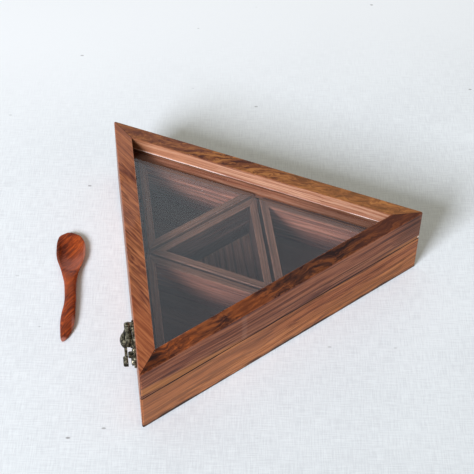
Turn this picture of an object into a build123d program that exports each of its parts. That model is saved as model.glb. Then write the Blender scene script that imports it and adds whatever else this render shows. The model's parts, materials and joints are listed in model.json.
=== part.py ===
from build123d import *
import os
from math import cos, radians, sin, sqrt

# Triangular sheesham spice box with a glass lid, four lift-out trays, a hasp and a spoon.
# Millimetres. The origin is the centre of the triangular underside, on the table.
# +Y points at the hinge side, -Y at the corner beside the hasp, +Z up.

# Overall box
side_length = 228.0
base_height = 29.0
lid_height = 23.5
wall_thickness = 11.0
seam_gap = 0.3
corner_radius = 1.0
edge_radius = 0.8

# Base panel, let into a rebate of the walls
panel_thickness = 4.0
panel_rebate = 5.0
panel_clearance = 0.12

# Glass, held in a groove of the lid rails
glass_recess = 9.5
glass_thickness = 3.0
glass_groove_depth = 4.0
glass_edge_clearance = 0.3
glass_face_clearance = 0.05

# Trays
tray_wall = 5.0
tray_floor = 4.0
tray_play = 2.1
tray_headroom = 5.0
tray_floor_clearance = 0.05
tray_edge_radius = 0.5
tray_left_shift = (1.0, -0.1)
tray_right_shift = (-0.27, -1.05)
tray_front_shift = (-0.6, 1.05)

# Hinges on the back wall
hinge_spacing = 120.0
hinge_length = 25.0
hinge_leaf_height = 12.0
hinge_leaf_thickness = 1.0
hinge_leaf_corner = 1.5
hinge_barrel_radius = 1.9
hinge_barrel_standoff = 0.4
hinge_barrel_relief = 2.0
hinge_knuckle_gap = 0.25
hinge_pin_radius = 0.8
hinge_pin_fit = 0.02
hinge_pin_running = 0.07
hinge_pin_proud = 0.3
hinge_screw_spread = 15.0
hinge_screw_height = 7.2

# Screws of the hinges
screw_head_radius = 1.7
screw_head_depth = 0.8
screw_shank_radius = 0.8
screw_length = 7.5
screw_tip = 1.2
screw_slot_width = 0.35
screw_slot_depth = 0.3
screw_clearance = 0.03

# Hasp on the left wall
hasp_from_corner = 44.0
hasp_plate_thickness = 1.2
hasp_plate_half_width = 11.0
hasp_plate_corner = 2.5
hasp_lid_plate_bottom = 1.6
hasp_lid_plate_body_top = 11.5
hasp_lid_plate_top = 19.0
hasp_tail_radius = 3.5
hasp_base_plate_top = -1.8
hasp_base_plate_body_bottom = -12.0
hasp_base_plate_bottom = -18.6
hasp_stub_radius = 4.4
hasp_stub_relief = 1.8
hasp_stub_rim = 1.2
hasp_stub_ring_gap = 0.4
hasp_scroll_radius = 2.8
hasp_scroll_hole = 1.2
hasp_scroll_spread = 14.2
hasp_scroll_height = -8.3
hasp_scroll_relief = 1.6
hasp_axis_height = 9.5
hasp_axis_standoff = 3.8
hasp_barrel_radius = 2.2
hasp_tongue_barrel_half = 4.6
hasp_knuckle_gap = 0.3
hasp_knuckle_length = 3.6
hasp_pin_radius = 0.7
hasp_pin_fit = 0.02
hasp_pin_running = 0.08
hasp_pin_proud = 0.4
hasp_strap_inner = 5.1
hasp_strap_thickness = 1.8
hasp_strap_half_width = 3.7
hasp_boss_height = 4.3
hasp_boss_radius = 5.0
hasp_boss_rise = 2.4
hasp_ring_height = -10.5
hasp_ring_radius = 5.6
hasp_slot_width = 5.4
hasp_slot_length = 5.4
hasp_waist_half_width = 1.8
hasp_tab_height = -16.7
hasp_tab_half_width = 3.5
hasp_tab_half_length = 3.3
hasp_tab_inner = 4.9
hasp_tab_thickness = 3.2
hasp_tab_rounding = 1.1
hasp_catch_width = 3.2
hasp_catch_clearance = 0.35
hasp_catch_chamfer = 0.5
hasp_nail_spread = 17.4
hasp_lid_nail_height = 4.6
hasp_tail_nail_height = 15.6
hasp_base_nail_height = -3.7
hasp_stub_nail_height = -15.4

# Domed nails of the hasp
nail_head_radius = 1.8
nail_head_rise = 1.3
nail_shank_radius = 0.6
nail_length = 8.0
nail_tip = 1.2
nail_clearance = 0.03

# Spoon, lying on the table at the left
spoon_start = (-116.2, -3.4)
spoon_heading = -65.5
spoon_length = 95.3
spoon_half_width = 10.0
spoon_height = 6.2
spoon_bend = 3.0
spoon_rim_height = 4.2
spoon_rim = 1.4
spoon_bowl_floor = 1.2
spoon_hollow_length = 35.0
spoon_shoulder_length = 11.0

# Places that follow from the sizes
inradius = side_length / (2.0 * sqrt(3.0))
cavity_inradius = inradius - wall_thickness
box_height = base_height + lid_height
seam_height = base_height
base_top = seam_height - seam_gap / 2.0
lid_bottom = seam_height + seam_gap / 2.0
glass_top = box_height - glass_recess
glass_bottom = glass_top - glass_thickness
tray_cell_inradius = cavity_inradius / 2.0
tray_inradius = tray_cell_inradius - tray_play
tray_bottom = panel_thickness
tray_top = glass_bottom - tray_headroom
hinge_axis_y = inradius + hinge_barrel_radius + hinge_barrel_standoff
back_angle = 90.0
side_angles = {"back": back_angle, "left": back_angle + 120.0, "right": back_angle + 240.0}

os.makedirs("parts", exist_ok=True)


def save(name, solid):
    """Write one piece under its own name."""
    solid.label = name
    export_step(solid, "parts/" + name + ".step")


def triangle_points(inner_radius, point_up=False):
    """Corners of an equilateral triangle round the origin."""
    reach = 2.0 * inner_radius
    first = 90.0 if point_up else 30.0
    return [(reach * cos(radians(first + 120.0 * k)), reach * sin(radians(first + 120.0 * k))) for k in range(3)]


def triangle_prism(inner_radius, bottom, top, point_up=False):
    """Equilateral triangular prism round the origin."""
    face = make_face(Polyline(*triangle_points(inner_radius, point_up), close=True))
    return Pos(0, 0, bottom) * extrude(face, top - bottom)


def mitred_board(outer, inner, bottom, top, angle):
    """Board along one side of a triangle, cut at both mitres. The angle is its outward normal."""
    half_out = sqrt(3.0) * outer
    half_in = sqrt(3.0) * inner
    outline = Polyline((outer, -half_out), (outer, half_out), (inner, half_in), (inner, -half_in), close=True)
    return Rot(0, 0, angle) * Pos(0, 0, bottom) * extrude(make_face(outline), top - bottom)


def eased_prism(bottom, top, ease_top, ease_bottom):
    """Whole outer shape of the lid or the base, with rounded corners and eased edges."""
    body = triangle_prism(inradius, bottom, top)
    body = fillet(body.edges().filter_by(Axis.Z), corner_radius)
    if ease_top:
        body = fillet(body.faces().sort_by(Axis.Z)[-1].edges(), edge_radius)
    if ease_bottom:
        body = fillet(body.faces().sort_by(Axis.Z)[0].edges(), edge_radius)
    return body


def cylinder_along_x(radius, x_from, x_to, y, z):
    """Round bar along X between two places."""
    return Pos((x_from + x_to) / 2.0, y, z) * Rot(0, 90, 0) * Cylinder(radius, x_to - x_from)


def block(x_from, x_to, y_from, y_to, z_from, z_to):
    """Box between two corners."""
    size = (x_to - x_from, y_to - y_from, z_to - z_from)
    middle = ((x_from + x_to) / 2.0, (y_from + y_to) / 2.0, (z_from + z_to) / 2.0)
    return Pos(*middle) * Box(*size)


def turned(points):
    """Solid of revolution about Z from (radius, height) points that start and end on the axis."""
    face = make_face(Plane.XZ * Polyline(*points, close=True))
    return revolve(face, Axis.Z)


# Screws and nails, head up along +Z, with the seat of the head at height zero
def screw():
    """Countersunk slotted wood screw, with its head face at height zero."""
    body = turned([
        (0, 0),
        (screw_head_radius, 0),
        (screw_shank_radius, -screw_head_depth),
        (screw_shank_radius, -screw_length + screw_tip),
        (0, -screw_length),
    ])
    slot = Box(3.0 * screw_head_radius, screw_slot_width, 2.0 * screw_slot_depth)
    return body - slot


def screw_hole():
    """Room for one screw, with its running clearance."""
    grown = screw_clearance
    return turned([
        (0, 1.0),
        (screw_head_radius + grown, 1.0),
        (screw_head_radius + grown, 0),
        (screw_shank_radius + grown, -screw_head_depth),
        (screw_shank_radius + grown, -screw_length + screw_tip),
        (0, -screw_length - 2.0 * grown),
    ])


def nail():
    """Domed nail, with the underside of its head at height zero."""
    shank = turned([
        (0, 0.1),
        (nail_shank_radius, 0.1),
        (nail_shank_radius, -nail_length + nail_tip),
        (0, -nail_length),
    ])
    ball_radius = (nail_head_radius ** 2 + nail_head_rise ** 2) / (2.0 * nail_head_rise)
    ball = Pos(0, 0, nail_head_rise - ball_radius) * Sphere(ball_radius)
    head = ball & Pos(0, 0, ball_radius) * Box(4 * ball_radius, 4 * ball_radius, 2 * ball_radius)
    return head + shank


def nail_hole():
    """Room for one nail shank."""
    radius = nail_shank_radius + nail_clearance
    return turned([(0, 0.5), (radius, 0.5), (radius, -nail_length + nail_tip), (0, -nail_length - 0.1)])


# Where the hinge screws and the hasp nails go
def back_wall_place(x, z, stand):
    """Frame on the back wall, with +Z out of the wall."""
    return Plane(origin=(x, inradius + stand, z), x_dir=(1, 0, 0), z_dir=(0, 1, 0)).location


hinge_middles = {"left": -hinge_spacing / 2.0, "right": hinge_spacing / 2.0}


def hinge_screw_places(middle, sign):
    """Both screw places of one leaf: sign is +1 for the lid leaf and -1 for the base leaf."""
    height = seam_height + sign * hinge_screw_height
    return [
        back_wall_place(middle - hinge_screw_spread / 2.0, height, hinge_leaf_thickness),
        back_wall_place(middle + hinge_screw_spread / 2.0, height, hinge_leaf_thickness),
    ]


wall_way = (cos(radians(120.0)), sin(radians(120.0)))
wall_out = (cos(radians(210.0)), sin(radians(210.0)))
hasp_x = wall_way[0] * hasp_from_corner
hasp_y = -2.0 * inradius + wall_way[1] * hasp_from_corner
hasp_place = Plane(
    origin=(hasp_x, hasp_y, seam_height),
    x_dir=(-wall_way[0], -wall_way[1], 0),
    z_dir=(wall_out[0], wall_out[1], 0),
).location
lid_nail_spots = [
    (-hasp_nail_spread / 2.0, hasp_lid_nail_height),
    (hasp_nail_spread / 2.0, hasp_lid_nail_height),
    (0.0, hasp_tail_nail_height),
]
base_nail_spots = [
    (-hasp_nail_spread / 2.0, hasp_base_nail_height),
    (hasp_nail_spread / 2.0, hasp_base_nail_height),
    (0.0, hasp_stub_nail_height),
]


# Base: three mitred walls round a panel
base_shape = eased_prism(0.0, base_top, False, True)
panel_room = triangle_prism(cavity_inradius + panel_rebate, -1.0, panel_thickness)
base_walls = {}
for side, angle in side_angles.items():
    wall = mitred_board(inradius, cavity_inradius, 0.0, base_top, angle)
    base_walls[side] = (wall & base_shape) - panel_room
for middle in hinge_middles.values():
    for place in hinge_screw_places(middle, -1):
        base_walls["back"] -= place * screw_hole()
for x, y in base_nail_spots:
    base_walls["left"] -= hasp_place * Pos(x, y, hasp_plate_thickness) * nail_hole()
for side, wall in base_walls.items():
    save("base_wall_" + side, wall)
save("base_panel", triangle_prism(cavity_inradius + panel_rebate - panel_clearance, 0.0, panel_thickness))

# Lid: three mitred rails with a groove, and the glass in it
lid_shape = eased_prism(lid_bottom, box_height, True, False)
glass_room = triangle_prism(
    cavity_inradius + glass_groove_depth,
    glass_bottom - glass_face_clearance,
    glass_top + glass_face_clearance,
)
lid_rails = {}
for side, angle in side_angles.items():
    rail = mitred_board(inradius, cavity_inradius, lid_bottom, box_height, angle)
    lid_rails[side] = (rail & lid_shape) - glass_room
for middle in hinge_middles.values():
    for place in hinge_screw_places(middle, 1):
        lid_rails["back"] -= place * screw_hole()
for x, y in lid_nail_spots:
    lid_rails["left"] -= hasp_place * Pos(x, y, hasp_plate_thickness) * nail_hole()
for side, rail in lid_rails.items():
    save("lid_rail_" + side, rail)
glass_inradius = cavity_inradius + glass_groove_depth - glass_edge_clearance
save("glass_pane", triangle_prism(glass_inradius, glass_bottom, glass_top))


# Trays: three mitred boards round a floor, each loose in the cavity
def build_tray(name, middle, point_up):
    """One triangular tray, standing on the base panel."""
    place = Pos(middle[0], middle[1], 0)
    turn = 180.0 if point_up else 0.0
    shape = triangle_prism(tray_inradius, tray_bottom, tray_top, point_up)
    shape = fillet(shape.faces().sort_by(Axis.Z)[-1].edges(), tray_edge_radius)
    inner = tray_inradius - tray_wall
    for side, angle in side_angles.items():
        board = mitred_board(tray_inradius, inner, tray_bottom, tray_top, angle + turn)
        facing = {"back": "front", "left": "right", "right": "left"}[side] if point_up else side
        save(name + "_wall_" + facing, place * (board & shape))
    floor_inradius = inner - tray_floor_clearance
    floor = triangle_prism(floor_inradius, tray_bottom, tray_bottom + tray_floor, point_up)
    save(name + "_floor", place * floor)


def cell_middle(angle, shift):
    """Middle of one corner cell of the cavity, moved by a share of the play."""
    reach = 2.0 * tray_cell_inradius
    x = reach * cos(radians(angle)) + shift[0] * tray_play
    y = reach * sin(radians(angle)) + shift[1] * tray_play
    return (x, y)


build_tray("tray_left", cell_middle(150.0, tray_left_shift), False)
build_tray("tray_right", cell_middle(30.0, tray_right_shift), False)
build_tray("tray_front", cell_middle(270.0, tray_front_shift), False)
build_tray("tray_centre", (0.0, 0.0), True)


# Hinges: a five-knuckle barrel, two leaves on the outside of the back wall, a pin and four screws
knuckle_length = (hinge_length - 4.0 * hinge_knuckle_gap) / 5.0
knuckle_step = knuckle_length + hinge_knuckle_gap


def build_leaf(middle, sign, knuckles, bore):
    """One hinge leaf: sign is +1 above the seam and -1 below it."""
    near = seam_height + sign * hinge_barrel_relief
    far = seam_height + sign * hinge_leaf_height
    low, high = min(near, far), max(near, far)
    x_from = middle - hinge_length / 2.0
    face_out = inradius + hinge_leaf_thickness
    leaf = block(x_from, x_from + hinge_length, inradius, face_out, low, high)
    ends = leaf.edges().filter_by(Axis.Y).group_by(Axis.Z)[-1 if sign > 0 else 0]
    leaf = fillet(ends, hinge_leaf_corner)
    for k in knuckles:
        start = x_from + k * knuckle_step
        tab_low = min(seam_height, near + sign * 0.5)
        tab_high = max(seam_height, near + sign * 0.5)
        leaf += block(start, start + knuckle_length, inradius, face_out, tab_low, tab_high)
        leaf += cylinder_along_x(hinge_barrel_radius, start, start + knuckle_length, hinge_axis_y, seam_height)
    reach = hinge_length / 2.0 + 1.0
    leaf -= cylinder_along_x(hinge_pin_radius + bore, middle - reach, middle + reach, hinge_axis_y, seam_height)
    for place in hinge_screw_places(middle, sign):
        leaf -= place * screw_hole()
    return leaf


for side, middle in hinge_middles.items():
    save("hinge_" + side + "_base_leaf", build_leaf(middle, -1, (0, 2, 4), hinge_pin_fit))
    save("hinge_" + side + "_lid_leaf", build_leaf(middle, 1, (1, 3), hinge_pin_running))
    pin_half = hinge_length / 2.0 + hinge_pin_proud
    pin = cylinder_along_x(hinge_pin_radius, middle - pin_half, middle + pin_half, hinge_axis_y, seam_height)
    save("hinge_" + side + "_pin", pin)
    for half, sign in (("base", -1), ("lid", 1)):
        for number, place in enumerate(hinge_screw_places(middle, sign), 1):
            save("hinge_" + side + "_" + half + "_screw_" + str(number), place * screw())


# Hasp pieces in the frame of the left wall: x towards the front corner, y up, z out of the wall
def raised(face, from_z, height):
    """Extrude a flat shape outwards from a height above the wall."""
    return Pos(0, 0, from_z) * extrude(face, height)


def oval(half_x, half_y, y):
    """Flat oval on the wall."""
    return Pos(0, y) * Ellipse(half_x, half_y)


def plate_body(bottom, top):
    """Rounded middle of a hasp plate."""
    face = Pos(0, (bottom + top) / 2.0) * RectangleRounded(2 * hasp_plate_half_width, top - bottom, hasp_plate_corner)
    return face


knuckle_start = hasp_tongue_barrel_half + hasp_knuckle_gap
knuckle_end = knuckle_start + hasp_knuckle_length
pin_reach = knuckle_end + hasp_pin_proud


def hasp_barrel(radius, x_from, x_to):
    """Round bar on the axis of the hasp."""
    return cylinder_along_x(radius, x_from, x_to, hasp_axis_height, hasp_axis_standoff)


tail_middle = hasp_lid_plate_top - hasp_tail_radius
lid_outline = plate_body(hasp_lid_plate_bottom, hasp_lid_plate_body_top)
shoulder = Polyline(
    (-hasp_plate_half_width + hasp_plate_corner, hasp_lid_plate_body_top - 0.5),
    (-hasp_tail_radius * 0.8, tail_middle),
    (hasp_tail_radius * 0.8, tail_middle),
    (hasp_plate_half_width - hasp_plate_corner, hasp_lid_plate_body_top - 0.5),
    close=True,
)
lid_outline += make_face(shoulder)
lid_outline += Pos(0, tail_middle) * Circle(hasp_tail_radius)
lid_plate = raised(lid_outline, 0.0, hasp_plate_thickness)
for mirror_side in (-1, 1):
    x_from = min(mirror_side * knuckle_start, mirror_side * knuckle_end)
    x_to = max(mirror_side * knuckle_start, mirror_side * knuckle_end)
    web_half = hasp_barrel_radius * 0.8
    lid_plate += block(x_from, x_to, hasp_axis_height - web_half, hasp_axis_height + web_half,
                       hasp_plate_thickness / 2.0, hasp_axis_standoff)
    lid_plate += hasp_barrel(hasp_barrel_radius, x_from, x_to)
lid_plate -= hasp_barrel(hasp_pin_radius + hasp_pin_fit, -pin_reach - 1.0, pin_reach + 1.0)
for x, y in lid_nail_spots:
    lid_plate -= Pos(x, y, hasp_plate_thickness) * nail_hole()
save("hasp_lid_plate", hasp_place * lid_plate)
save("hasp_pin", hasp_place * hasp_barrel(hasp_pin_radius, -pin_reach, pin_reach))

# Base plate with two raised scrolls and a stub
stub_middle = hasp_base_plate_bottom + hasp_stub_radius
base_outline = plate_body(hasp_base_plate_body_bottom, hasp_base_plate_top)
base_outline += Pos(0, stub_middle) * Circle(hasp_stub_radius)
base_outline += Pos(0, (stub_middle + hasp_base_plate_body_bottom) / 2.0 + 0.5) * Rectangle(
    1.7 * hasp_stub_radius, abs(stub_middle - hasp_base_plate_body_bottom) + 2.0)
base_plate = raised(base_outline, 0.0, hasp_plate_thickness)
for mirror_side in (-1, 1):
    scroll = Circle(hasp_scroll_radius) - Circle(hasp_scroll_hole)
    scroll_place = Pos(mirror_side * hasp_scroll_spread / 2.0, hasp_scroll_height, 0)
    base_plate += scroll_place * raised(scroll, hasp_plate_thickness / 2.0,
                                        hasp_plate_thickness / 2.0 + hasp_scroll_relief)
stub_ring = Circle(hasp_stub_radius - hasp_stub_rim) - Circle(nail_head_radius + hasp_stub_ring_gap)
stub_ring = Pos(0, hasp_stub_nail_height) * stub_ring
stub_relief = raised(stub_ring, hasp_plate_thickness / 2.0, hasp_plate_thickness / 2.0 + hasp_stub_relief)
base_plate += stub_relief & raised(base_outline, 0.0, hasp_plate_thickness + hasp_stub_relief)
for x, y in base_nail_spots:
    base_plate -= Pos(x, y, hasp_plate_thickness) * nail_hole()
save("hasp_base_plate", hasp_place * base_plate)

# Catch: a square stud that ends just short of the hanging tongue
catch_rise = hasp_strap_inner - hasp_catch_clearance - hasp_plate_thickness
catch = raised(Pos(0, hasp_ring_height) * Rectangle(hasp_catch_width, hasp_catch_width),
               hasp_plate_thickness, catch_rise)
catch = chamfer(catch.faces().sort_by(Axis.Z)[-1].edges(), hasp_catch_chamfer)
save("hasp_catch", hasp_place * catch)

# Tongue: barrel, strap with a domed boss, ring with a slot, waist and drop-shaped tab
strap_outer = hasp_strap_inner + hasp_strap_thickness
strap_side = Polyline(
    (0, hasp_axis_height + 1.2, hasp_axis_standoff + hasp_barrel_radius * 0.8),
    (0, hasp_axis_height - 2.6, strap_outer),
    (0, hasp_tab_height, strap_outer),
    (0, hasp_tab_height, hasp_strap_inner),
    (0, hasp_axis_height - 3.1, hasp_strap_inner),
    (0, hasp_axis_height - 1.2, hasp_axis_standoff),
    (0, hasp_axis_height, hasp_axis_standoff),
    close=True,
)
strap = extrude(make_face(strap_side), amount=hasp_ring_radius + 1.0, dir=(1, 0, 0), both=True)
strap_outline = Pos(0, (hasp_axis_height + hasp_boss_height) / 2.0 + 1.0) * Rectangle(
    2 * hasp_tongue_barrel_half, hasp_axis_height - hasp_boss_height + 3.0)
strap_outline += Pos(0, hasp_boss_height) * Circle(hasp_boss_radius)
strap_outline += Pos(0, (hasp_boss_height + hasp_ring_height) / 2.0) * Rectangle(
    2 * hasp_strap_half_width, hasp_boss_height - hasp_ring_height)
strap_outline += Pos(0, hasp_ring_height) * Circle(hasp_ring_radius)
strap_outline += Pos(0, (hasp_ring_height + hasp_tab_height) / 2.0) * Rectangle(
    2 * hasp_waist_half_width, hasp_ring_height - hasp_tab_height)
tongue = strap & raised(strap_outline, 0.0, strap_outer + 1.0)
tongue += hasp_barrel(hasp_barrel_radius, -hasp_tongue_barrel_half, hasp_tongue_barrel_half)
dome_radius = (hasp_boss_radius ** 2 + hasp_boss_rise ** 2) / (2.0 * hasp_boss_rise)
dome = Pos(0, hasp_boss_height, strap_outer + hasp_boss_rise - dome_radius) * Sphere(dome_radius)
dome_room = 2.0 * hasp_boss_radius
dome &= block(-dome_room, dome_room, hasp_boss_height - dome_room, hasp_boss_height + dome_room,
              strap_outer - 0.2 * hasp_strap_thickness, strap_outer + dome_room)
tongue += dome
tab = raised(oval(hasp_tab_half_width, hasp_tab_half_length, hasp_tab_height), hasp_tab_inner, hasp_tab_thickness)
tab = fillet(tab.faces().sort_by(Axis.Z)[-1].edges(), hasp_tab_rounding)
tongue += tab
slot_cut = Pos(0, hasp_ring_height) * Rectangle(hasp_slot_width, hasp_slot_length)
tongue -= raised(slot_cut, 0.0, 2.0 * strap_outer)
tongue -= hasp_barrel(hasp_pin_radius + hasp_pin_running, -2.0 * pin_reach, 2.0 * pin_reach)
save("hasp_tongue", hasp_place * tongue)

for number, (x, y) in enumerate(lid_nail_spots, 1):
    save("hasp_lid_nail_" + str(number), hasp_place * Pos(x, y, hasp_plate_thickness) * nail())
for number, (x, y) in enumerate(base_nail_spots, 1):
    save("hasp_base_nail_" + str(number), hasp_place * Pos(x, y, hasp_plate_thickness) * nail())

# Spoon: ovals across it from its tip to the end of its handle. Each gives its place along the spoon and its
# half width as shares of the length and the half width, how far it lies aside as a share of the bend, and
# the height of its middle and its half height as shares of the height
spoon_stations = [
    (0.0016, 0.160, -0.300, 0.629, 0.056),
    (0.0105, 0.400, -0.200, 0.645, 0.177),
    (0.0315, 0.690, -0.117, 0.661, 0.339),
    (0.0630, 0.850, 0.017, 0.669, 0.484),
    (0.1049, 0.960, 0.200, 0.677, 0.597),
    (0.1574, 1.000, 0.317, 0.677, 0.661),
    (0.2099, 0.990, 0.350, 0.677, 0.677),
    (0.2623, 0.920, 0.383, 0.677, 0.661),
    (0.3148, 0.780, 0.417, 0.677, 0.613),
    (0.3568, 0.650, 0.450, 0.669, 0.565),
    (0.3987, 0.560, 0.500, 0.645, 0.500),
    (0.4407, 0.490, 0.600, 0.613, 0.435),
    (0.4827, 0.430, 0.700, 0.597, 0.403),
    (0.5456, 0.400, 0.817, 0.581, 0.379),
    (0.6296, 0.395, 0.950, 0.548, 0.371),
    (0.6925, 0.410, 0.917, 0.516, 0.371),
    (0.7555, 0.460, 0.783, 0.484, 0.371),
    (0.8185, 0.485, 0.683, 0.439, 0.363),
    (0.8814, 0.455, 0.600, 0.379, 0.339),
    (0.9234, 0.375, 0.433, 0.306, 0.290),
    (0.9549, 0.290, 0.233, 0.234, 0.226),
    (0.9811, 0.190, 0.033, 0.194, 0.161),
    (0.9984, 0.070, -0.133, 0.161, 0.065),
]


def spoon_oval(station, thinner, shallower):
    """One oval across the spoon, drawn in by a wall and a floor."""
    along, half_width, aside, middle, half_height = station
    place = Plane(
        origin=(along * spoon_length, aside * spoon_bend, middle * spoon_height),
        x_dir=(0, 1, 0),
        z_dir=(1, 0, 0),
    )
    return place * Ellipse(half_width * spoon_half_width - thinner, half_height * spoon_height - shallower)


spoon_room = 2.0 * (spoon_half_width + spoon_bend)
spoon_side = Polyline(
    (-spoon_rim, 0, -spoon_height),
    (-spoon_rim, 0, spoon_rim_height),
    (spoon_hollow_length, 0, spoon_rim_height),
    (spoon_hollow_length + spoon_shoulder_length, 0, 1.05 * spoon_height),
    (spoon_length + spoon_rim, 0, 1.05 * spoon_height),
    (spoon_length + spoon_rim, 0, -spoon_height),
    close=True,
)
spoon = loft([spoon_oval(station, 0.0, 0.0) for station in spoon_stations])
spoon &= extrude(make_face(spoon_side), amount=spoon_room, dir=(0, 1, 0), both=True)
hollow_stations = [
    station for station in spoon_stations
    if station[1] * spoon_half_width > 3.0 * spoon_rim
    and station[4] * spoon_height > 1.5 * spoon_bowl_floor
    and station[0] * spoon_length < spoon_hollow_length
]
spoon -= loft([spoon_oval(station, spoon_rim, spoon_bowl_floor) for station in hollow_stations])
spoon = Pos(0, 0, -spoon.bounding_box().min.Z) * spoon
spoon = Pos(spoon_start[0], spoon_start[1], 0) * Rot(0, 0, spoon_heading) * spoon
save("spoon", spoon)
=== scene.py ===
"""Triangular rosewood spice box with a glass lid, four trays, a brass hasp and a spoon.

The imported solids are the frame. This script dresses them, adds the fine pieces that ride on them,
and stands the box on a linen cloth in soft studio light.
"""

import json
import logging
from collections.abc import Sequence
from dataclasses import dataclass, field, replace
from enum import Enum
from math import cos, pi, radians, sin, sqrt

import bmesh
import bpy
from mathutils import Matrix, Vector

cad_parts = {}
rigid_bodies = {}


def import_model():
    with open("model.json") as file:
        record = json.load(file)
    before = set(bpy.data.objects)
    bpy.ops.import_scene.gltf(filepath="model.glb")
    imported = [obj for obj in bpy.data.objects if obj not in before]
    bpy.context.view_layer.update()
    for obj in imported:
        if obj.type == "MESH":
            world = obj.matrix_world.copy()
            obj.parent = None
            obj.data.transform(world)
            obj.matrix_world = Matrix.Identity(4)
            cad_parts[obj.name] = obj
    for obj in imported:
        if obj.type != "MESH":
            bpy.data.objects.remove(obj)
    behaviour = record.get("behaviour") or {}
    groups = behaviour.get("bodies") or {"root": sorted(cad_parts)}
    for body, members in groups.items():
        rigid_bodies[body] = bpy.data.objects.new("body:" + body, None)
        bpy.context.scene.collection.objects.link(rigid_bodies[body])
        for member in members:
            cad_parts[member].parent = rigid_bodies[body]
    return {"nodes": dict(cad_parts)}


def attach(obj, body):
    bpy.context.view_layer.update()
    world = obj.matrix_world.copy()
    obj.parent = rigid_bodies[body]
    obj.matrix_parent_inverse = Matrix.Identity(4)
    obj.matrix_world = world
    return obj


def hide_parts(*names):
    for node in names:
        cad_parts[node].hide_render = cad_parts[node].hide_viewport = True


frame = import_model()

log = logging.getLogger("spice_box")

Rgb = tuple[float, float, float]
Screen = tuple[int, int, int]
Point = tuple[float, float, float]
Span = tuple[float, float]
Socket = bpy.types.NodeSocket

MM = 0.001
IN_MM = (1000.0, 1000.0, 1000.0)
ROOT3 = sqrt(3.0)

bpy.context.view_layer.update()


def srgb(colour: Screen) -> Rgb:
    """A colour as seen on a screen, 0 to 255, as scene-linear numbers, by the usual curve."""
    shares = [part / 255.0 for part in colour]
    return tuple(share / 12.92 if share <= 0.04045 else ((share + 0.055) / 1.055) ** 2.4 for share in shares)


class Side(Enum):
    """One side of a triangle, by the angle of its outward normal in degrees."""

    BACK = 90.0
    LEFT = 210.0
    RIGHT = 330.0


class Slot(Enum):
    """The record's material slots, one for each kind of fine piece."""

    SPOON = "spoon_wood"
    GLASS = "lid_glass"
    HINGE = "hinge_brass"
    HASP = "hasp_antique_brass"


class Cover(Enum):
    """How one colour lies over another."""

    TINT = "MULTIPLY"
    STAIN = "MIX"


class Kind(Enum):
    """The kinds of socket that a node group has."""

    NUMBER = "NodeSocketFloat"
    WHOLE = "NodeSocketInt"
    COLOUR = "NodeSocketColor"
    VECTOR = "NodeSocketVector"
    ROTATION = "NodeSocketRotation"
    OBJECT = "NodeSocketObject"
    MATERIAL = "NodeSocketMaterial"
    GEOMETRY = "NodeSocketGeometry"


# Node trees


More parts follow.
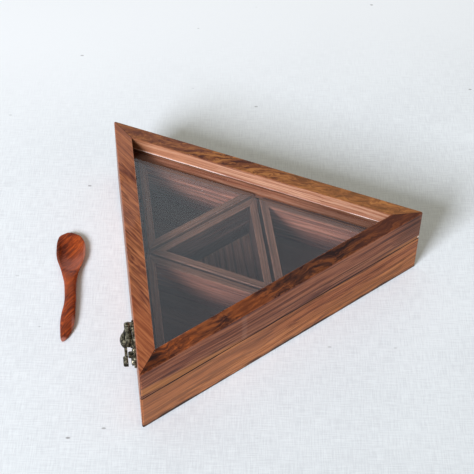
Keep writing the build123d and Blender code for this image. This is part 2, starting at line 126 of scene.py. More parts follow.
class Sheet:
    """A node tree being written, with a short call for each node that is used often."""

    columns = 12
    step = (220, -260)

    def __init__(self, tree: bpy.types.NodeTree) -> None:
        """Start on an empty tree."""
        self.tree = tree

    def feed(self, node: bpy.types.Node, values: dict[int | str, object]) -> None:
        """Link a node's inputs, or write constants on them.

        Args:
            node: The node.
            values: An output or a constant for each input, by its place or name. None leaves it alone.
        """
        for key, value in values.items():
            socket = node.inputs[key]
            if isinstance(value, Socket):
                self.tree.links.new(value, socket)
            elif value is not None:
                socket.default_value = (*value, 1.0) if socket.type == "RGBA" and len(value) == 3 else value

    def node(
        self, kind: str, values: dict[int | str, object] | None = None, **settings: object
    ) -> bpy.types.Node:
        """Add one node.

        Args:
            kind: The node's type name in Blender.
            values: What goes into its inputs, by their place or name.
            settings: Its properties.

        Returns:
            The new node.
        """
        row, column = divmod(len(self.tree.nodes), self.columns)
        made = self.tree.nodes.new(kind)
        made.location = (column * self.step[0], row * self.step[1])
        for name, value in settings.items():
            setattr(made, name, value)
        self.feed(made, values or {})
        return made

    def first(self, kind: str, *values: object, **settings: object) -> Socket:
        """The first output of a new node, with these values in its first inputs."""
        return self.node(kind, dict(enumerate(values)), **settings).outputs[0]

    def math(self, operation: str, *values: object) -> Socket:
        """One Math node's result."""
        return self.first("ShaderNodeMath", *values, operation=operation)

    def times(self, a: object, b: object) -> Socket:
        """One number times another."""
        return self.math("MULTIPLY", a, b)

    def times_plus(self, a: object, b: object, c: object) -> Socket:
        """One number times another, plus a third."""
        return self.math("MULTIPLY_ADD", a, b, c)

    def less(self, a: object, b: object) -> Socket:
        """One number less another."""
        return self.math("SUBTRACT", a, b)

    def most(self, a: object, b: object) -> Socket:
        """The greater of two numbers."""
        return self.math("MAXIMUM", a, b)

    def least(self, a: object, b: object) -> Socket:
        """The smaller of two numbers."""
        return self.math("MINIMUM", a, b)

    def vector(self, operation: str, a: object, b: object) -> Socket:
        """One Vector Math node's result."""
        return self.first("ShaderNodeVectorMath", a, b, operation=operation)

    def scale(self, place: Socket, by: object) -> Socket:
        """A place, scaled by a number along each axis."""
        return self.vector("MULTIPLY", place, by)

    def join(self, x: object, y: object, z: object) -> Socket:
        """Three numbers as one vector."""
        return self.first("ShaderNodeCombineXYZ", x, y, z)

    def split(self, vector: Socket) -> tuple[Socket, Socket, Socket]:
        """The three numbers of a vector."""
        return tuple(self.node("ShaderNodeSeparateXYZ", {0: vector}).outputs)

    def noise(
        self, place: Socket, detail: float = 2.0, rough: float = 0.5, bend: float = 0.0
    ) -> tuple[Socket, Socket]:
        """One Noise Texture at scale 1.

        Args:
            place: Where it is read, already scaled.
            detail: Its octaves.
            rough: How strong the small octaves are.
            bend: Its distortion.

        Returns:
            Its value and its colour.
        """
        values = {"Vector": place, "Scale": 1.0, "Detail": detail, "Roughness": rough, "Distortion": bend}
        return tuple(self.node("ShaderNodeTexNoise", values).outputs)

    def cells(self, place: Socket, scale: float) -> tuple[Socket, Socket]:
        """How far the nearest of many scattered points is, and that point's own random colour."""
        made = self.node("ShaderNodeTexVoronoi", {"Vector": place, "Scale": scale})
        return made.outputs["Distance"], made.outputs["Color"]

    def ramp(self, value: object, low: object, high: object, start: float = 0.0, stop: float = 1.0) -> Socket:
        """A smooth step from start, where the value is low, to stop, where it is high."""
        values = (value, low, high, start, stop)
        return self.first("ShaderNodeMapRange", *values, interpolation_type="SMOOTHSTEP")

    def blend(self, factor: object, under: object, over: object, cover: Cover = Cover.STAIN) -> Socket:
        """One colour over another."""
        values = {0: factor, 6: under, 7: over}
        return self.node("ShaderNodeMix", values, data_type="RGBA", blend_type=cover.value).outputs[2]

    def between(self, factor: object, a: object, b: object) -> Socket:
        """A number between two."""
        return self.node("ShaderNodeMix", {0: factor, 2: a, 3: b}, data_type="FLOAT").outputs[0]


class Group(Sheet):
    """A node group that is built once, with named inputs and outputs."""

    title: str
    form: str
    takes: dict[Kind, dict[str, object]]
    gives: dict[str, Kind]

    def __init__(self) -> None:
        """Make the sockets and write the nodes."""
        super().__init__(bpy.data.node_groups.new(self.title, self.form))
        self.ids: dict[str, str] = {}
        for kind, defaults in self.takes.items():
            for name, default in defaults.items():
                socket = self.tree.interface.new_socket(name, in_out="INPUT", socket_type=kind.value)
                self.ids[name] = socket.identifier
                if default is not None:
                    socket.default_value = (*default, 1.0) if kind is Kind.COLOUR else default
        for name, kind in self.gives.items():
            self.tree.interface.new_socket(name, in_out="OUTPUT", socket_type=kind.value)
        self.ask = {socket.name: socket for socket in self.node("NodeGroupInput").outputs}
        self.draw()

    def draw(self) -> None:
        """Write the nodes between the inputs in self.ask and the outputs. Each group has its own."""
        raise NotImplementedError

    def give(self, **values: object) -> None:
        """End the group in its outputs."""
        self.node("NodeGroupOutput", values)


class Effect(Group):
    """A shader node group that many materials share."""

    form = "ShaderNodeTree"

    def place(self, sheet: Sheet, **values: object) -> dict[str, Socket]:
        """Put the group into a material.

        Args:
            sheet: The material's sheet.
            values: What goes into the group's inputs.

        Returns:
            Its outputs by name.
        """
        made = sheet.node("ShaderNodeGroup", values, node_tree=self.tree)
        return {socket.name: socket for socket in made.outputs}


@dataclass(frozen=True)
class Strand:
    """One layer of grain, drawn out along the board.

    A greater along or times makes it finer against the group's own lengths.
    """

    along: float
    width: str
    times: float
    detail: float
    rough: float
    shift: Point | None = None

    def draw(self, sheet: Sheet, place: Socket, ask: dict[str, Socket]) -> Socket:
        """Write the layer's noise.

        Args:
            sheet: The group's sheet.
            place: Where it is read, in millimetres.
            ask: The group's inputs by name.

        Returns:
            The noise's value.
        """
        run = sheet.math("DIVIDE", self.along, ask["Along"])
        wide = sheet.math("DIVIDE", self.times, ask[self.width])
        drawn = sheet.scale(place, sheet.join(run, wide, wide))
        if self.shift:
            drawn = sheet.vector("ADD", drawn, self.shift)
        return sheet.noise(drawn, self.detail, self.rough)[0]


class RosewoodGrain(Effect):
    """Bands, lines, burl and pores of oiled rosewood, in the space of one board.

    X runs along the board, Y out of its face and Z up, all in metres.
    """

    title = "rosewood_grain"
    takes = {
        Kind.VECTOR: {"Vector": None},
        Kind.NUMBER: {
            "Seed": 0.0, "Along": 90.0, "Band": 7.0, "Line": 1.6, "Wander": 4.0, "Burl": 0.0, "Skew": 0.0,
            "Slope": 0.0, "Contrast": 1.0, "Veins": 0.5,
        },
        Kind.COLOUR: {"Light": (0.4, 0.2, 0.1), "Middle": (0.25, 0.1, 0.05), "Dark": (0.08, 0.03, 0.02)},
    }
    gives = {"Color": Kind.COLOUR, "Height": Kind.NUMBER, "Polish": Kind.NUMBER}
    seed_steps = (37.13, 21.71, 11.37)
    wander_gain = 4.0
    burl_gain = 60.0
    strands = (
        Strand(0.6, "Band", 1.0, 3.0, 0.5),
        Strand(1.0, "Line", 1.0, 4.0, 0.6),
        Strand(1.5, "Line", 1.9, 4.0, 0.7),
        Strand(0.75, "Line", 0.62, 3.0, 0.55, (13.0, 7.0, 3.0)),
        Strand(1.2, "Line", 1.2, 3.0, 0.6, (3.0, 17.0, 9.0)),
    )
    band_share = 1.5
    line_share = 3.2
    fine_share = 1.8
    hair_gain = 1.3
    vein_shade = (0.36, 0.29, 0.29)

    def push(self, noise: tuple[Socket, Socket], reach: tuple[object, ...]) -> Socket:
        """A push in any direction, from the colour of a noise."""
        return self.scale(self.vector("SUBTRACT", noise[1], (0.5, 0.5, 0.5)), self.join(*reach))

    def draw(self) -> None:
        """Write the grain."""
        ask = self.ask
        x, y, z = self.split(self.scale(ask["Vector"], IN_MM))
        leaning = self.join(x, self.times_plus(x, ask["Skew"], y), self.times_plus(x, ask["Slope"], z))
        shift = self.join(*(self.times(ask["Seed"], step) for step in self.seed_steps))
        place = self.vector("ADD", leaning, shift)
        wander = self.times(ask["Wander"], self.wander_gain)
        slow = self.noise(self.scale(place, (0.013, 0.034, 0.034)), 2.0)
        sway = self.push(slow, (0.0, wander, wander))
        burl = self.times(ask["Burl"], self.burl_gain)
        curled = self.noise(self.scale(place, (0.055, 0.085, 0.085)), 3.0, 0.55, 0.8)
        swirl = self.push(curled, (burl, burl, burl))
        bent = self.vector("ADD", place, self.vector("ADD", sway, swirl))
        band, line, fine, vein, hair = (strand.draw(self, bent, ask) for strand in self.strands)
        tone = self.times(self.less(band, 0.5), self.band_share)
        tone = self.times_plus(self.less(line, 0.5), self.line_share, tone)
        tone = self.times_plus(self.less(fine, 0.5), self.fine_share, tone)
        tone = self.times_plus(tone, ask["Contrast"], 0.5)
        colour = self.blend(self.ramp(tone, 0.02, 0.52), ask["Dark"], ask["Middle"])
        colour = self.blend(self.ramp(tone, 0.48, 0.98), colour, ask["Light"])
        vein = self.times(self.ramp(vein, 0.57, 0.68), ask["Veins"])
        hair = self.times(self.ramp(hair, 0.54, 0.61), self.times(ask["Veins"], self.hair_gain))
        dark = self.most(vein, hair)
        colour = self.blend(dark, colour, self.blend(1.0, colour, self.vein_shade, Cover.TINT))
        pores = self.ramp(self.noise(self.scale(place, (0.24, 2.3, 2.3)), 1.0)[0], 0.62, 0.72)
        colour = self.blend(self.times(pores, 0.3), colour, ask["Dark"])
        height = self.times_plus(line, 0.4, self.times_plus(pores, -0.8, self.times(fine, 0.5)))
        polish = self.times_plus(pores, 0.5, self.math("ADD", self.times(line, 0.6), dark))
        self.give(Color=colour, Height=height, Polish=polish)


class ArrisWear(Effect):
    """Rubbed edges, lightened both as wear and as a painted edge highlight, and the fine line of a mitre, in
    the space of one board.
    """

    title = "arris_wear"
    takes = {
        Kind.VECTOR: {"Vector": None},
        Kind.NUMBER: {
            "Outer": 0.0658, "Inner": 0.0548, "Bottom": 0.0, "Top": 0.0525, "Width": 0.0011,
            "Joint Width": 0.00022,
        },
    }
    gives = {"Wear": Kind.NUMBER, "Joint": Kind.NUMBER}
    corner_pull = 0.45

    def draw(self) -> None:
        """Write the distance to the nearest edge, broken up by noise."""
        ask = self.ask
        x, y, z = self.split(ask["Vector"])
        out = self.less(ask["Outer"], y)
        back = self.less(y, ask["Inner"])
        top = self.less(ask["Top"], z)
        low = self.less(z, ask["Bottom"])
        near = self.most(self.least(out, back), self.least(top, low))
        far = self.least(self.most(out, back), self.most(top, low))
        mitre = self.times(self.less(self.times(y, ROOT3), self.math("ABSOLUTE", x)), 0.5)
        drawn = self.times(self.most(mitre, 0.0), self.corner_pull)
        corner = self.math("ADD", drawn, self.most(out, 0.0))
        edge = self.least(self.least(near, far), corner)
        rub = self.noise(self.scale(ask["Vector"], (210.0, 420.0, 420.0)), 4.0, 0.62)[0]
        reach = self.times(ask["Width"], self.ramp(rub, 0.36, 0.66, 0.15, 1.5))
        wear = self.ramp(edge, reach, self.times(reach, 0.2))
        joint = self.ramp(mitre, ask["Joint Width"], self.times(ask["Joint Width"], 0.4))
        self.give(Wear=wear, Joint=joint)


class SeamShade(Effect):
    """A dark line of painted shade, uneven along it: the shade in a seam, and the contact shadow at the foot
    of a board.
    """

    title = "seam_line"
    takes = {Kind.VECTOR: {"Vector": None}, Kind.NUMBER: {"Level": 0.029, "Reach": 0.0006}}
    gives = {"Mask": Kind.NUMBER}

    def draw(self) -> None:
        """Write the distance to the level, broken up along the board."""
        ask = self.ask
        z = self.split(ask["Vector"])[2]
        rub = self.noise(self.scale(ask["Vector"], (45.0, 160.0, 160.0)), 4.0, 0.6)[0]
        reach = self.times(ask["Reach"], self.ramp(rub, 0.34, 0.62, 0.55, 1.45))
        away = self.math("ABSOLUTE", self.less(z, ask["Level"]))
        mask = self.ramp(away, reach, self.times(reach, 0.3))
        self.give(Mask=self.times(mask, self.ramp(rub, 0.3, 0.55, 0.75, 0.97)))


class SettledDust(Effect):
    """Soft smudges and specks of dust."""

    title = "settled_dust"
    takes = {Kind.VECTOR: {"Vector": None}, Kind.NUMBER: {"Specks": 0.5, "Smudge": 0.5}}
    gives = {"Mask": Kind.NUMBER, "Smear": Kind.NUMBER}
    specks_per_metre = 260.0
    bare_share = 0.93

    def draw(self) -> None:
        """Write the specks and the smudges."""
        ask = self.ask
        away, chance = self.cells(ask["Vector"], self.specks_per_metre)
        pick = self.math("GREATER_THAN", self.split(chance)[0], self.bare_share)
        speck = self.times(self.ramp(away, 0.09, 0.04), pick)
        smudge = self.noise(self.scale(ask["Vector"], (38.0, 55.0, 55.0)), 5.0, 0.62, 0.4)[0]
        smear = self.times(self.ramp(smudge, 0.46, 0.72), ask["Smudge"])
        self.give(Mask=self.times(speck, ask["Specks"]), Smear=smear)


class AgedBrass(Effect):
    """Cast brass with dark tarnish in its hollows and rubbed high spots."""

    title = "aged_brass"
    takes = {
        Kind.VECTOR: {"Vector": None},
        Kind.COLOUR: {"Bright": (0.5, 0.4, 0.2), "Tarnish": (0.05, 0.05, 0.03)},
        Kind.NUMBER: {"Amount": 0.5, "Grain": 1.0},
    }
    gives = {"Color": Kind.COLOUR, "Rough": Kind.NUMBER, "Height": Kind.NUMBER}
    grit_colour = (0.02, 0.018, 0.012)

    def draw(self) -> None:
        """Write the tarnish and the casting grain."""
        ask = self.ask
        size = self.times(ask["Grain"], IN_MM[0])
        place = self.scale(ask["Vector"], self.join(size, size, size))
        blot = self.noise(self.scale(place, (0.32, 0.32, 0.32)), 5.0, 0.65, 0.6)[0]
        grit = self.noise(self.scale(place, (2.4, 2.4, 2.4)), 3.0, 0.6)[0]
        level = self.times_plus(grit, 0.35, self.times(blot, 0.65))
        edge = self.less(0.86, self.times(ask["Amount"], 0.62))
        dirt = self.ramp(level, self.less(edge, 0.14), self.math("ADD", edge, 0.1))
        colour = self.blend(dirt, ask["Bright"], ask["Tarnish"])
        colour = self.blend(self.ramp(grit, 0.35, 0.6, 0.0, 0.3), colour, self.grit_colour)
        rough = self.times_plus(dirt, 0.26, self.times(grit, 0.2))
        height = self.times_plus(blot, 0.7, self.times(grit, 0.35))
        self.give(Color=colour, Rough=rough, Height=height)


@dataclass(frozen=True)
class Effects:
    """The shader groups that the finishes share."""

    grain: RosewoodGrain = field(default_factory=RosewoodGrain)
    arris: ArrisWear = field(default_factory=ArrisWear)
    # painted shade along seams and a painted contact shadow at a board's foot
    seam: SeamShade = field(default_factory=SeamShade)
    dust: SettledDust = field(default_factory=SettledDust)
    brass: AgedBrass = field(default_factory=AgedBrass)


# Finishes


class Coat(Sheet):
    """A material being written."""

    def __init__(self, name: str) -> None:
        """Start a material with its Principled shader and its output.

        Args:
            name: The material's name.
        """
        self.material = bpy.data.materials.new(name)
        self.material.use_nodes = True
        self.material.node_tree.nodes.clear()
        super().__init__(self.material.node_tree)
        self.shader = self.node("ShaderNodeBsdfPrincipled")
        self.out = self.node("ShaderNodeOutputMaterial", {"Surface": self.shader.outputs[0]})

    def spot(self) -> Socket:
        """Where a point is on its object, which is where it is in the frame."""
        return self.node("ShaderNodeTexCoord").outputs["Object"]

    def turned(self, turn: float, centre: Span = (0.0, 0.0)) -> Socket:
        """Where a point is from a centre, on axes that are turned about Z.

        Args:
            turn: The angle of the new X axis, in radians.
            centre: The new origin, in metres.

        Returns:
            The place.
        """
        shift = Matrix.Rotation(-turn, 3, "Z") @ Vector((*centre, 0.0))
        values = {"Vector": self.spot(), "Rotation": (0.0, 0.0, -turn), "Location": -shift}
        return self.node("ShaderNodeMapping", values, vector_type="POINT").outputs[0]

    def bump(self, height: Socket, strength: float, distance: float) -> None:
        """Raise the surface by a height, with the distance in metres."""
        values = {"Strength": strength, "Distance": distance, "Height": height}
        self.feed(self.shader, {"Normal": self.node("ShaderNodeBump", values).outputs[0]})


@dataclass(frozen=True)
class Patch:
    """A tint over part of a board, in the board's own space, in millimetres.

    It comes in from the first number of x, y and z to their second, and goes out over x_end and z_end.
    """

    tint: Screen
    x: Span = (-400.0, -399.0)
    x_end: Span = (400.0, 401.0)
    y: Span | None = None
    z: Span = (-400.0, -399.0)
    z_end: Span = (400.0, 401.0)
    amount: float = 1.0
    slope: float = 0.0
    ripple: float = 1.0
    cover: Cover = Cover.TINT
    ripple_across: float = 7.0
    ripple_along: float = 60.0

    def over(self, sheet: Sheet, colour: Socket, where: Socket) -> Socket:
        """Lay the tint over a colour.

        Args:
            sheet: The material's sheet.
            colour: The colour under it.
            where: The place on the board, in metres.

        Returns:
            The colour with the tint on it.
        """
        x, y, z = sheet.split(sheet.scale(where, IN_MM))
        ripple = sheet.less(sheet.noise(sheet.scale(where, (24.0, 150.0, 150.0)), 3.0)[0], 0.5)
        z = sheet.times_plus(ripple, self.ripple_across * self.ripple, sheet.times_plus(x, self.slope, z))
        x = sheet.times_plus(ripple, self.ripple_along * self.ripple, x)
        mask = sheet.times(sheet.ramp(x, *self.x), sheet.ramp(x, *self.x_end, 1.0, 0.0))
        if self.y:
            mask = sheet.times(mask, sheet.ramp(y, *self.y))
        mask = sheet.times(mask, sheet.ramp(z, *self.z))
        mask = sheet.times(mask, sheet.ramp(z, *self.z_end, 1.0, 0.0))
        return sheet.blend(sheet.times(mask, self.amount), colour, srgb(self.tint), self.cover)


@dataclass(frozen=True)
class Stain(Patch):
    """A patch that covers the colour under it."""

    cover: Cover = Cover.STAIN


@dataclass(frozen=True)
class Figure:
    """How the wood of one face is figured. Lengths are in millimetres."""

    light: Screen
    middle: Screen
    dark: Screen
    along: float = 90.0
    band: float = 7.0
    line: float = 1.6
    wander: float = 4.0
    burl: float = 0.0
    skew: float = 0.0
    slope: float = 0.0
    contrast: float = 1.0
    veins: float = 0.5
    seed: float = 1.0
    patches: tuple[Patch, ...] = ()

    def place(self, effects: Effects, sheet: Sheet, where: Socket) -> dict[str, Socket]:
        """Put this figure into a material, with its patches over it.

        Args:
            effects: The shared shader groups.
            sheet: The material's sheet.
            where: The place on the board, in metres.

        Returns:
            Its colour, height and polish by name.
        """
        sizes = {name: getattr(self, name.lower()) for name in RosewoodGrain.takes[Kind.NUMBER]}
        tones = {name: srgb(getattr(self, name.lower())) for name in RosewoodGrain.takes[Kind.COLOUR]}
        made = effects.grain.place(sheet, Vector=where, **sizes, **tones)
        for patch in self.patches:
            made["Color"] = patch.over(sheet, made["Color"], where)
        return made


@dataclass(frozen=True)
class BoardSpace:
    """The space of one board of a triangle: X along it, Y out of its face, Z up. In metres.

    Unless its edges are given they are too far off to show, as for a floor. The top edge of a covered
    board lies under another one.
    """

    side: Side
    outer: float = 0.2
    inner: float = -0.2
    top: float = 0.1
    centre: Span = (0.0, 0.0)
    point_up: bool = False
    covered: bool = False

    def place(self, coat: Coat) -> Socket:
        """Where a point is in this space."""
        return coat.turned(radians(self.side.value - 90.0 + (180.0 if self.point_up else 0.0)), self.centre)


@dataclass(frozen=True)
class Rosewood:
    """Oiled rosewood: one figure on the sides of a board, one on its top and one on its inside."""

    side: Figure
    top: Figure
    inside: Figure
    # levels and reaches, in millimetres, of painted shade lines: seams, and the contact shadow at a board's
    # foot
    shade_lines: tuple[Span, ...] = ()
    rough: float = 0.36
    wear: float = 0.3
    bump: float = 0.12
    # colour of the rubbed edges, which also stands as a painted highlight along them
    worn: Screen = (172, 104, 72)
    joint: float = 0.75
    joint_line: Screen = (30, 15, 10)
    # colour of the painted shade in seams and of the painted contact shadow at a board's foot
    seam_line: Screen = (34, 18, 13)
    dust: Screen = (190, 180, 170)
    arris: float = 0.8
    shine: float = 0.14
    ior: float = 1.48
    specks: float = 0.25
    smudge: float = 0.6
    polish_gain: float = 0.12
    smear_gain: float = 0.12
    wear_gain: float = -0.05
    grain_height: float = 0.0004
    inside_fade: Span = (0.0006, 0.0002)
    top_fade: Span = (0.0008, 0.0002)
    far: float = 1.0

    def material(self, name: str, effects: Effects, space: BoardSpace) -> bpy.types.Material:
        """Make the finish for one board.

        Args:
            name: The material's name.
            effects: The shared shader groups.
            space: The board's own space.

        Returns:
            The material.
        """
        coat = Coat(name)
        where = space.place(coat)
        y, z = coat.split(where)[1:]
        side, inside, top = (face.place(effects, coat, where) for face in (self.side, self.inside, self.top))
        is_in = coat.ramp(y, *(space.inner + step for step in self.inside_fade))
        is_top = coat.ramp(z, *(space.top - step for step in self.top_fade))
        colour = coat.blend(is_top, coat.blend(is_in, side["Color"], inside["Color"]), top["Color"])
        edges = effects.arris.place(
            coat, Vector=where, Outer=space.outer, Inner=space.inner, Bottom=-self.far,
            Top=self.far if space.covered else space.top, Width=self.arris * MM,
        )
        # lighten the edges, as wear and as a painted edge highlight
        colour = coat.blend(coat.times(edges["Wear"], self.wear), colour, srgb(self.worn))
        colour = coat.blend(coat.times(edges["Joint"], self.joint), colour, srgb(self.joint_line))
        # painted shade along each seam, and a painted contact shadow at the foot
        for level, reach in self.shade_lines:
            line = effects.seam.place(coat, Vector=where, Level=level * MM, Reach=reach * MM)
            colour = coat.blend(line["Mask"], colour, srgb(self.seam_line))
        dust = effects.dust.place(coat, Vector=where, Specks=self.specks, Smudge=self.smudge)
        polish = coat.between(is_top, side["Polish"], top["Polish"])
        rough = coat.times_plus(polish, self.polish_gain, self.rough - 0.5 * self.polish_gain)
        rough = coat.times_plus(dust["Smear"], self.smear_gain, rough)
        coat.feed(coat.shader, {
            "Base Color": coat.blend(dust["Mask"], colour, srgb(self.dust)),
            "Roughness": coat.times_plus(edges["Wear"], self.wear_gain, rough),
            "IOR": self.ior,
            "Specular IOR Level": self.shine,
        })
        coat.bump(coat.between(is_top, side["Height"], top["Height"]), self.bump, self.grain_height)
        return coat.material


@dataclass(frozen=True)
class Brass:
    """Brass of one age."""

    bright: Screen
    tarnish: Screen
    amount: float
    rough: float
    bump: float
    grain: float = 1.0

    def material(self, name: str, effects: Effects) -> bpy.types.Material:
        """Make the finish.

        Args:
            name: The material's name.
            effects: The shared shader groups.

        Returns:
            The material.
        """
        coat = Coat(name)
        aged = effects.brass.place(
            coat, Vector=coat.spot(), Bright=srgb(self.bright), Tarnish=srgb(self.tarnish),
            Amount=self.amount, Grain=self.grain,
        )
        rough = coat.math("ADD", aged["Rough"], self.rough)
        coat.feed(coat.shader, {"Base Color": aged["Color"], "Roughness": rough, "Metallic": 1.0})
        coat.bump(aged["Height"], self.bump, 0.0003)
        return coat.material


@dataclass(frozen=True)
class ClearGlass:
    """Float glass, which lets the lamps through to the trays."""

    tint: Rgb = (0.93, 0.965, 0.95)
    ior: float = 1.5

    def material(self, name: str) -> bpy.types.Material:
        """Make the finish.

        Args:
            name: The material's name.

        Returns:
            The material.
        """
        coat = Coat(name)
        coat.feed(coat.shader, {
            "Base Color": self.tint, "Transmission Weight": 1.0, "IOR": self.ior, "Roughness": 0.0,
        })
        path = coat.node("ShaderNodeLightPath").outputs
        through = coat.most(path["Is Shadow Ray"], path["Is Diffuse Ray"])
        clear = coat.first("ShaderNodeBsdfTransparent", self.tint)
        mixed = coat.first("ShaderNodeMixShader", through, coat.shader.outputs[0], clear)
        coat.feed(coat.out, {"Surface": mixed})
        return coat.material


@dataclass(frozen=True)
class Chalky:
    """A plain matt stuff, such as putty or dust, with a faint mottle."""

    pale: Screen
    dull: Screen
    rough: float
    spots_per_metre: float = 900.0
    patches: tuple[Patch, ...] = ()

    def material(self, name: str) -> bpy.types.Material:
        """Make the finish.

        Args:
            name: The material's name.

        Returns:
            The material.
        """
        coat = Coat(name)
        where = coat.spot()
        spot = coat.noise(coat.scale(where, (self.spots_per_metre,) * 3), 3.0)[0]
        colour = coat.blend(coat.ramp(spot, 0.35, 0.65), srgb(self.pale), srgb(self.dull))
        for patch in self.patches:
            colour = patch.over(coat, colour, where)
        rough = coat.ramp(spot, 0.3, 0.7, self.rough - 0.1, self.rough + 0.1)
        coat.feed(coat.shader, {"Base Color": colour, "Roughness": rough})
        return coat.material


@dataclass(frozen=True)
class Linen:
    """Pale linen cloth under the box, with threads, slubs and a few dark flecks, and a painted light falloff:
    paler towards the back and left, darker towards the front and right.
    """

    pale: Screen = (243, 247, 247)
    grey: Screen = (224, 227, 228)
    # near and far carry the painted light falloff: near darkens the front, far lightens the back
    near: Screen = (239, 239, 238)
    far: Screen = (252, 254, 254)
    fleck: Screen = (116, 112, 108)
    flecks_per_metre: float = 85.0
    bare_share: float = 0.72
    turn: float = 22.0

    def material(self, name: str) -> bpy.types.Material:
        """Make the finish.

        Args:
            name: The material's name.

        Returns:
            The material.
        """
        coat = Coat(name)
        where = coat.turned(radians(self.turn))
        place = coat.scale(where, IN_MM)
        weft = coat.noise(coat.scale(place, (0.09, 1.4, 1.0)), 3.0, 0.6)[0]
        warp = coat.noise(coat.scale(place, (1.4, 0.09, 1.0)), 3.0, 0.6)[0]
        cloud = coat.noise(coat.scale(place, (0.010, 0.010, 1.0)), 2.0)[0]
        threads = coat.times(coat.math("ADD", weft, warp), 0.5)
        tone = coat.times_plus(coat.less(cloud, 0.5), 0.22, threads)
        colour = coat.blend(coat.ramp(tone, 0.32, 0.66), srgb(self.grey), srgb(self.pale))
        # painted light falloff: darker towards the front and right, paler towards the back and left
        x, y = coat.split(where)[:2]
        reach = coat.less(y, coat.times(x, 0.2))
        nearer = coat.blend(1.0, colour, srgb(self.near), Cover.TINT)
        colour = coat.blend(coat.ramp(reach, -0.26, 0.06, 1.0, 0.0), colour, nearer)
        colour = coat.blend(coat.ramp(reach, 0.09, 0.33), colour, srgb(self.far))
        away, random = coat.cells(coat.scale(where, (0.5, 1.0, 1.0)), self.flecks_per_metre)
        chance, strength = coat.split(random)[:2]
        pick = coat.times(coat.math("GREATER_THAN", chance, self.bare_share), coat.ramp(strength, -0.2, 0.9))
        fleck = coat.times(coat.ramp(away, 0.08, 0.035), pick)
        colour = coat.blend(coat.times(fleck, 0.7), colour, srgb(self.fleck))
        coat.feed(coat.shader, {"Base Color": colour, "Roughness": 0.9, "Specular IOR Level": 0.1})
        coat.bump(threads, 0.12, 0.0003)
        return coat.material


# Meshes


def dress(node: str, material: bpy.types.Material) -> bpy.types.Object:
    """Give a CAD node its finish.

    Args:
        node: The node's name.
        material: The finish.

    Returns:
        The node's object.
    """
    made = frame["nodes"][node]
    made.data.materials.clear()
    made.data.materials.append(material)
    log.info("%s dressed in %s", node, material.name)
    return made


def soften(node: bpy.types.Object, width: float, angle: float = 30.0) -> None:
    """Ease the edges of a CAD node, by modifiers alone.

    Args:
        node: The CAD node's object.
        width: How wide the easing is, in metres.
        angle: The least angle of an edge that is eased, in degrees.
    """
    weld = node.modifiers.new("weld", "WELD")
    weld.merge_threshold = 0.000002
    bevel = node.modifiers.new("ease", "BEVEL")
    bevel.width = width
    bevel.segments = 2
    bevel.limit_method = "ANGLE"
    bevel.angle_limit = radians(angle)


def mesh_object(name: str, mesh: bpy.types.Mesh) -> bpy.types.Object:
    """Put a mesh into the scene.

    Args:
        name: What it is called from now on.
        mesh: The mesh.

    Returns:
        Its object.
    """
    mesh.name = name
    made = bpy.data.objects.new(name, mesh)
    bpy.context.scene.collection.objects.link(made)
    return made


def mesh_of(build: bmesh.types.BMesh, name: str, smooth: bool = False) -> bpy.types.Object:
    """Turn a finished bmesh into an object.

    Args:
        build: The bmesh. It is freed.
        name: The object's name.
        smooth: Whether its faces are shaded smooth.

    Returns:
        The object.
    """
    bmesh.ops.recalc_face_normals(build, faces=build.faces)
    mesh = bpy.data.meshes.new(name)
    build.to_mesh(mesh)
    build.free()
    mesh.polygons.foreach_set("use_smooth", [smooth] * len(mesh.polygons))
    return mesh_object(name, mesh)


def bare_object(
    points: Sequence[Point], edges: Sequence[tuple[int, int]] = (), faces: Sequence[tuple[int, ...]] = ()
) -> bpy.types.Object:
    """A bare mesh for a tree to start from.

    Args:
        points: Its points.
        edges: The pairs of points that it joins.
        faces: The rings of points that it fills.

    Returns:
        Its object.
    """
    mesh = bpy.data.meshes.new("source")
    mesh.from_pydata(points, edges, faces)
    return mesh_object("source", mesh)


def done_mesh(source: bpy.types.Object) -> bpy.types.Mesh:
    """Carry out an object's modifiers.

    Args:
        source: The object, which stays as it is.

    Returns:
        The mesh that they make of it.
    """
    graph = bpy.context.evaluated_depsgraph_get()
    graph.update()
    return bpy.data.meshes.new_from_object(source.evaluated_get(graph), depsgraph=graph)


def lathe(rings: list[Span], around: int) -> bmesh.types.BMesh:
    """Turn a profile about Z.

    Args:
        rings: Radius and height from the first pole to the last. A radius of zero is a pole.
        around: How many faces go round.

    Returns:
        The bmesh.
    """
    build = bmesh.new()
    turns = [2.0 * pi * step / around for step in range(around)]
    rows: list[list[bmesh.types.BMVert]] = []
    for radius, height in rings:
        angles = turns if radius else turns[:1]
        rows.append([build.verts.new((radius * cos(turn), radius * sin(turn), height)) for turn in angles])
    for low, high in zip(rows, rows[1:]):
        for here in range(around):
            after = (here + 1) % around
            corners = (
                low[here % len(low)], low[after % len(low)], high[after % len(high)], high[here % len(high)]
            )
            build.faces.new(list(dict.fromkeys(corners)))
    return build


